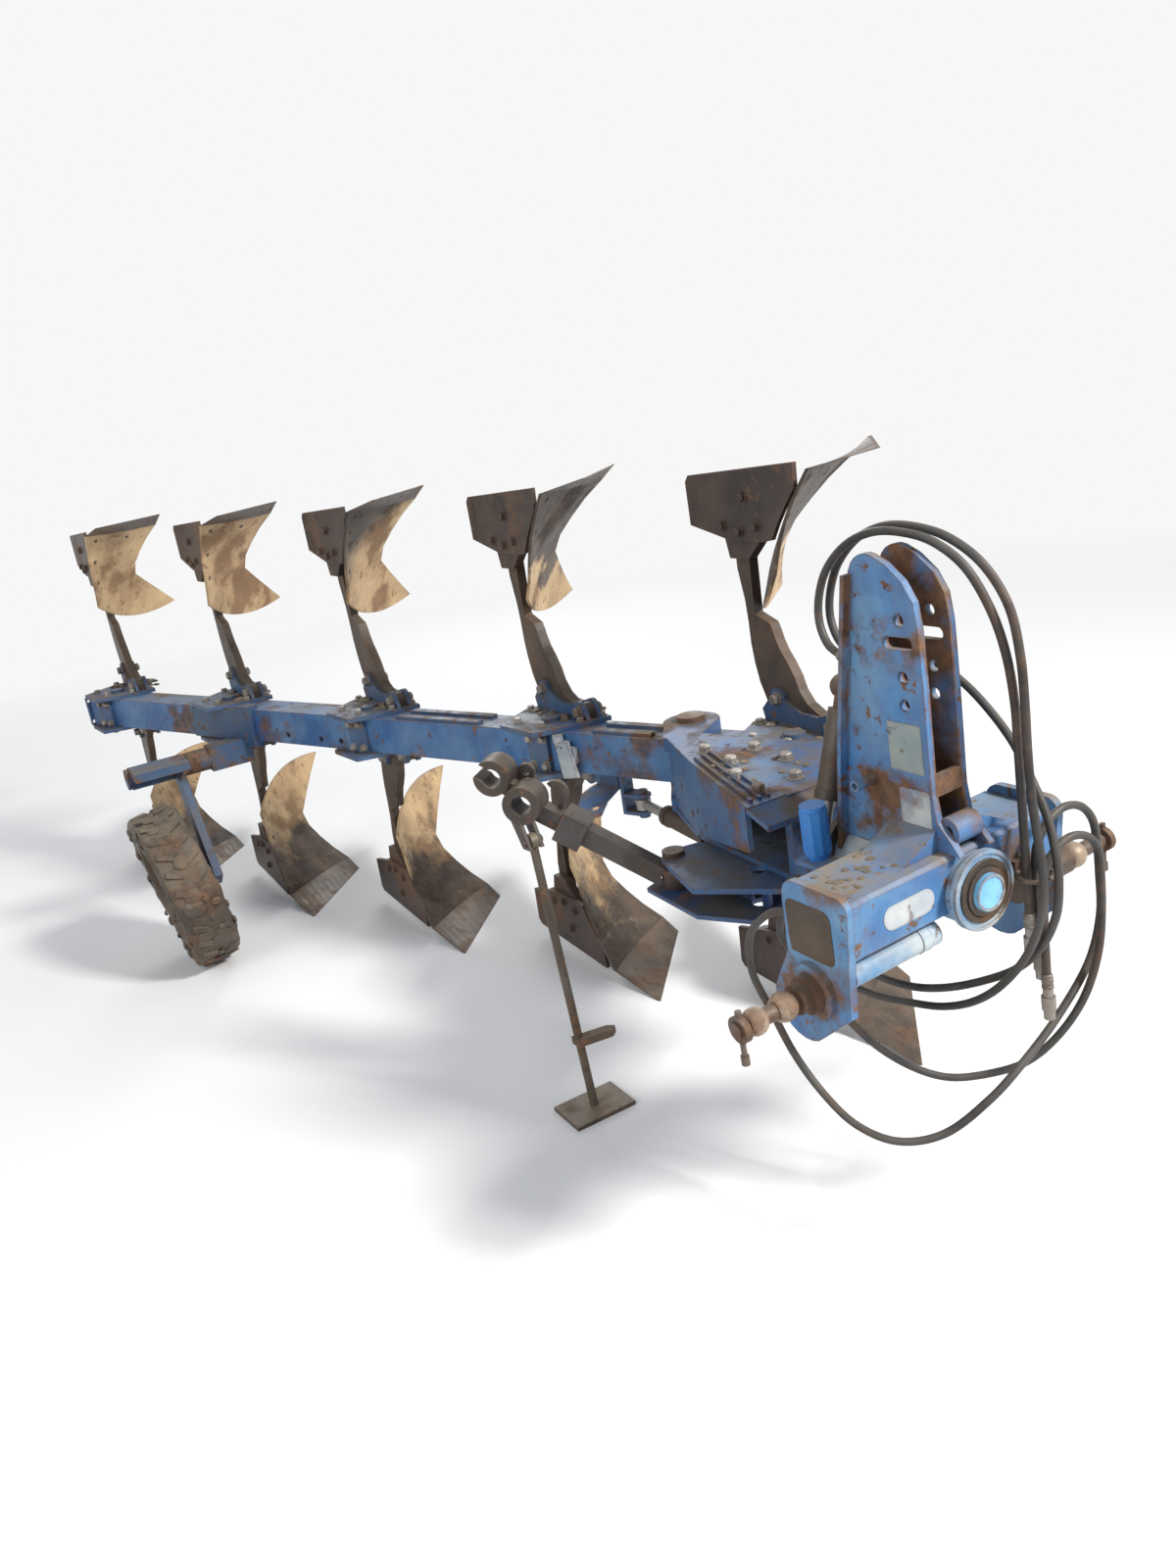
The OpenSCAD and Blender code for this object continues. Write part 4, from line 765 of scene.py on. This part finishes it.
plough_bolt = turned("plough_bolt", (
    (0, -0.002), (0.0095, -0.002), (0.0095, 0.0006), (0.0085, 0.0014), (0, 0.0014)), 20)
face_spots = ((0.72, 0.16), (0.72, 0.50), (0.72, 0.84), (1.5, 0.14), (1.5, 0.62), (3.5, 0.12), (5.5, 0.12))
land_face = -0.0602
face_bolts = []
frog_bolts = []
for k in range(5):
    for up in (1, -1):
        mirror = Matrix.Diagonal((1, 1, up, 1))
        for row, along in face_spots:
            spot = face_point(row, along)
            across = face_point(row, along + 0.02) - spot
            climb = face_point(row + 0.05, along) - spot
            outward = across.cross(climb).normalized()
            if outward.y > 0:
                outward.negate()
            stand_up = outward.to_track_quat("Z", "X").to_matrix().to_4x4()
            face_bolts.append(leg_frame(k) @ mirror @ Matrix.Translation(spot) @ stand_up)
        for y, z in ((0.085, 0.655), (0.160, 0.640), (0.235, 0.655), (0.130, 0.735)):
            frog_spot = Matrix.Translation((land_face, y, up * z))
            frog_bolts.append(leg_frame(k) @ frog_spot @ Matrix.Rotation(math.radians(-90), 4, "Y"))
bolts_on_face = spread(plough_bolt, "plough_bolts", face_bolts, share_front, "frame")
bpy.ops.object.select_all(action="DESELECT")
bolts_on_face.select_set(True)
bpy.context.view_layer.objects.active = bolts_on_face
bpy.ops.object.mode_set(mode="EDIT")
bpy.ops.mesh.select_all(action="SELECT")
bpy.ops.mesh.normals_make_consistent(inside=False)
bpy.ops.object.mode_set(mode="OBJECT")
spread(small_bolt, "frog_bolts", frog_bolts, land_brown, "frame")
bpy.data.objects.remove(plough_bolt)

# Depth wheel: a pressed rim and a tyre caked with grey-brown mud, its lugs half buried; a blue bracket.
# The tyre's skin is spun from its section, roughened and then lugged; it stands for the plain solid.
tyre_mud = weathered("tyre_mud", (0.022, 0.019, 0.018), (0.075, 0.060, 0.046), (0.020, 0.017, 0.015),
                     (0.21, 0.165, 0.11), 1.0, 0.6, 0.3, 0.85, 0.0, 0.005)
rim_mud = weathered("rim_mud", (0.045, 0.037, 0.030), (0.11, 0.086, 0.062), (0.035, 0.025, 0.018),
                    (0.20, 0.16, 0.11), 1.0, 0.7, 0.3, 0.85, 0.1, 0.004)
dress(rim_mud, "rim")
arm_blue = weathered("arm_blue", (0.016, 0.058, 0.140), (0.055, 0.105, 0.165), (0.024, 0.018, 0.014),
                     (0.13, 0.105, 0.075), 0.7, 1.0, 1.0, 1.0)
dress(arm_blue, "wheel_bracket", "wheel_arm")
tyre_radius = 0.325
tyre_half = 0.0925
wheel_camber = math.radians(9)
wheel_height = tyre_radius * math.cos(wheel_camber) + (tyre_half - 0.040) * math.sin(wheel_camber)
wheel_spot = Vector((-1.058, 2.930, wheel_height))
wheel_frame = (Matrix.Translation(datum + wheel_spot) @ Matrix.Rotation(-wheel_camber, 4, "Y")
               @ Matrix.Rotation(math.radians(90), 4, "Y"))
# half of the tyre's section from the bead to the middle of the tread: radius, place from the middle
half_section = (
    (0.2150, 0.064), (0.2350, 0.069), (0.2480, 0.080), (0.2640, 0.088), (0.2820, 0.0915), (0.2980, 0.090),
    (0.3080, 0.084), (0.3145, 0.074), (0.3165, 0.060), (0.3170, 0.040), (0.3172, 0.020),
)
section = [(r, z) for r, z in half_section] + [(r, -z) for r, z in reversed(half_section)]
tyre_skin = turned("tyre_skin", section, 144)
mud_noise = bpy.data.textures.new("mud_lumps", "CLOUDS")
mud_noise.noise_scale = 0.07
mud_noise.noise_depth = 3
swell = tyre_skin.modifiers.new("mud", "DISPLACE")
swell.texture = mud_noise
swell.texture_coords = "LOCAL"
swell.strength = 0.024
swell.mid_level = 0.62
bpy.ops.object.select_all(action="DESELECT")
tyre_skin.select_set(True)
bpy.context.view_layer.objects.active = tyre_skin
bpy.ops.object.modifier_apply(modifier="mud")
lug_count = 26
bpy.ops.object.select_all(action="DESELECT")
bpy.ops.mesh.primitive_cube_add(size=1, location=(0, 0, 0))
lug = bpy.context.object
lug.name = "lug"
lug.scale = (0.014, 0.022, 0.062)
bpy.ops.object.transform_apply(location=True, rotation=True, scale=True)
bpy.ops.object.mode_set(mode="EDIT")
bpy.ops.mesh.select_all(action="SELECT")
bpy.ops.mesh.bevel(offset=0.003, segments=2)
bpy.ops.mesh.subdivide(number_cuts=1)
bpy.ops.object.mode_set(mode="OBJECT")
lug_places = []
for i in range(lug_count):
    for side, shift in ((1, 0.0), (-1, 0.5)):
        about = Matrix.Rotation(2 * math.pi * (i + shift) / lug_count, 4, "Z")
        slant = Matrix.Rotation(side * math.radians(28), 4, "X")
        lug_places.append(wheel_frame @ about @ Matrix.Translation((0.3152, 0, side * 0.040)) @ slant)
spread(lug, "tyre_lugs", lug_places, tyre_mud, "wheel")
bpy.data.objects.remove(lug)
for polygon in tyre_skin.data.polygons:
    polygon.use_smooth = True
settle(tyre_skin, wheel_frame, tyre_mud, "wheel")
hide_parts("tyre")
nut_count = 5
nut_ring = 0.080
disc_face = -0.020
wheel_nuts = []
for i in range(nut_count):
    about = Matrix.Rotation(2 * math.pi * i / nut_count, 4, "Z")
    nut_spot = Matrix.Translation((nut_ring, 0, disc_face))
    wheel_nuts.append(wheel_frame @ about @ nut_spot @ Matrix.Rotation(math.pi, 4, "X"))
spread(small_bolt, "wheel_nuts", wheel_nuts, rim_mud, "wheel")

# Catch arm and stand: rusty bare steel with a little blue left.
catch_rust = weathered("catch_rust", (0.036, 0.029, 0.026), (0.085, 0.078, 0.078), (0.022, 0.016, 0.013),
                       (0.17, 0.135, 0.095), 0.8, 0.8, 0.6, 0.65, 0.1)
dress(catch_rust, "catch_arm", "catch_jaws")
stand_mud = weathered("stand_mud", (0.050, 0.038, 0.030), (0.12, 0.10, 0.08), (0.030, 0.021, 0.016),
                      (0.27, 0.215, 0.145), 0.9, 0.8, 0.6, 0.9, 0.1)
dress(stand_mud, "stand")

# Caked soil: clods left on the brackets' plates, on the turning head and box, and thick on the tyre.
# Each clod is a lump with a cut flat foot, pressed onto the surface below it.
clod_soil = weathered("clod_soil", (0.050, 0.039, 0.030), (0.115, 0.088, 0.062), (0.030, 0.023, 0.018),
                      (0.22, 0.17, 0.115), 1.0, 0.5, 0.4, 0.8, 0.0, 0.003)
bpy.ops.object.select_all(action="DESELECT")
bpy.ops.mesh.primitive_ico_sphere_add(subdivisions=2, radius=1, location=(0, 0, 0))
clod = bpy.context.object
clod.name = "clod"
bpy.ops.object.mode_set(mode="EDIT")
bpy.ops.mesh.select_all(action="SELECT")
bpy.ops.transform.vertex_random(offset=0.16, seed=5)
bpy.ops.mesh.bisect(plane_co=(0, 0, -0.15), plane_no=(0, 0, 1), clear_inner=True, use_fill=True)
bpy.ops.mesh.select_all(action="SELECT")
bpy.ops.transform.translate(value=(0, 0, 0.14))
bpy.ops.mesh.normals_make_consistent(inside=False)
bpy.ops.object.mode_set(mode="OBJECT")
scatter = random.Random(11)


def clods_on(home, count, x_span, y_span, level, sizes, flatness=0.45):
    """Places for clods of mixed sizes, turned at random, on a level patch of a frame."""
    places = []
    for _ in range(count):
        size = scatter.uniform(*sizes)
        spot = Vector((scatter.uniform(*x_span), scatter.uniform(*y_span), level))
        about = Matrix.Rotation(scatter.uniform(0, 2 * math.pi), 4, "Z")
        shape = Matrix.Diagonal((size * scatter.uniform(0.7, 1.4), size, size * flatness, 1))
        places.append(home @ Matrix.Translation(spot) @ about @ shape)
    return places


plate_level = half_beam + plate_over
bracket_clods = []
for k in range(5):
    for x_span in ((-0.085, -0.040), (0.040, 0.085)):
        bracket_clods += clods_on(leg_frame(k), 7, x_span, (-0.13, 0.13), plate_level, (0.010, 0.024))
spread(clod, "bracket_clods", bracket_clods, clod_soil, "frame")
head_clods = clods_on(axis_frame, 16, (-0.05, 0.12), (0.48, 0.80), head_top, (0.006, 0.015))
spread(clod, "head_clods", head_clods, clod_soil, "turner")
box_top = 0.088
box_clods = clods_on(head_frame, 26, (-0.29, -0.12), (-0.06, 0.06), box_top, (0.004, 0.010), 0.3)
spread(clod, "box_crumbs", box_clods, clod_soil, "headstock")
tread_clods = []
tread_count = 54
wall_count = 26
for _ in range(tread_count):
    about = Matrix.Rotation(scatter.uniform(0, 2 * math.pi), 4, "Z")
    size = scatter.uniform(0.014, 0.034)
    shape = Matrix.Diagonal((size * scatter.uniform(0.7, 1.3), size, 0.0075, 1))
    off = Matrix.Translation((0.3150, 0, scatter.uniform(-0.060, 0.060)))
    tread_clods.append(wheel_frame @ about @ off @ Matrix.Rotation(math.radians(90), 4, "Y") @ shape)
for _ in range(wall_count):
    about = Matrix.Rotation(scatter.uniform(0, 2 * math.pi), 4, "Z")
    side = scatter.choice((1, -1))
    size = scatter.uniform(0.010, 0.022)
    off = Matrix.Translation((scatter.uniform(0.262, 0.296), 0, side * 0.086))
    turn_out = Matrix.Rotation(0 if side > 0 else math.pi, 4, "X")
    tread_clods.append(wheel_frame @ about @ off @ turn_out @ Matrix.Diagonal((size, size, 0.010, 1)))
spread(clod, "tyre_clods", tread_clods, tyre_mud, "wheel")

for master in (big_bolt, small_bolt, clod):
    bpy.data.objects.remove(master)
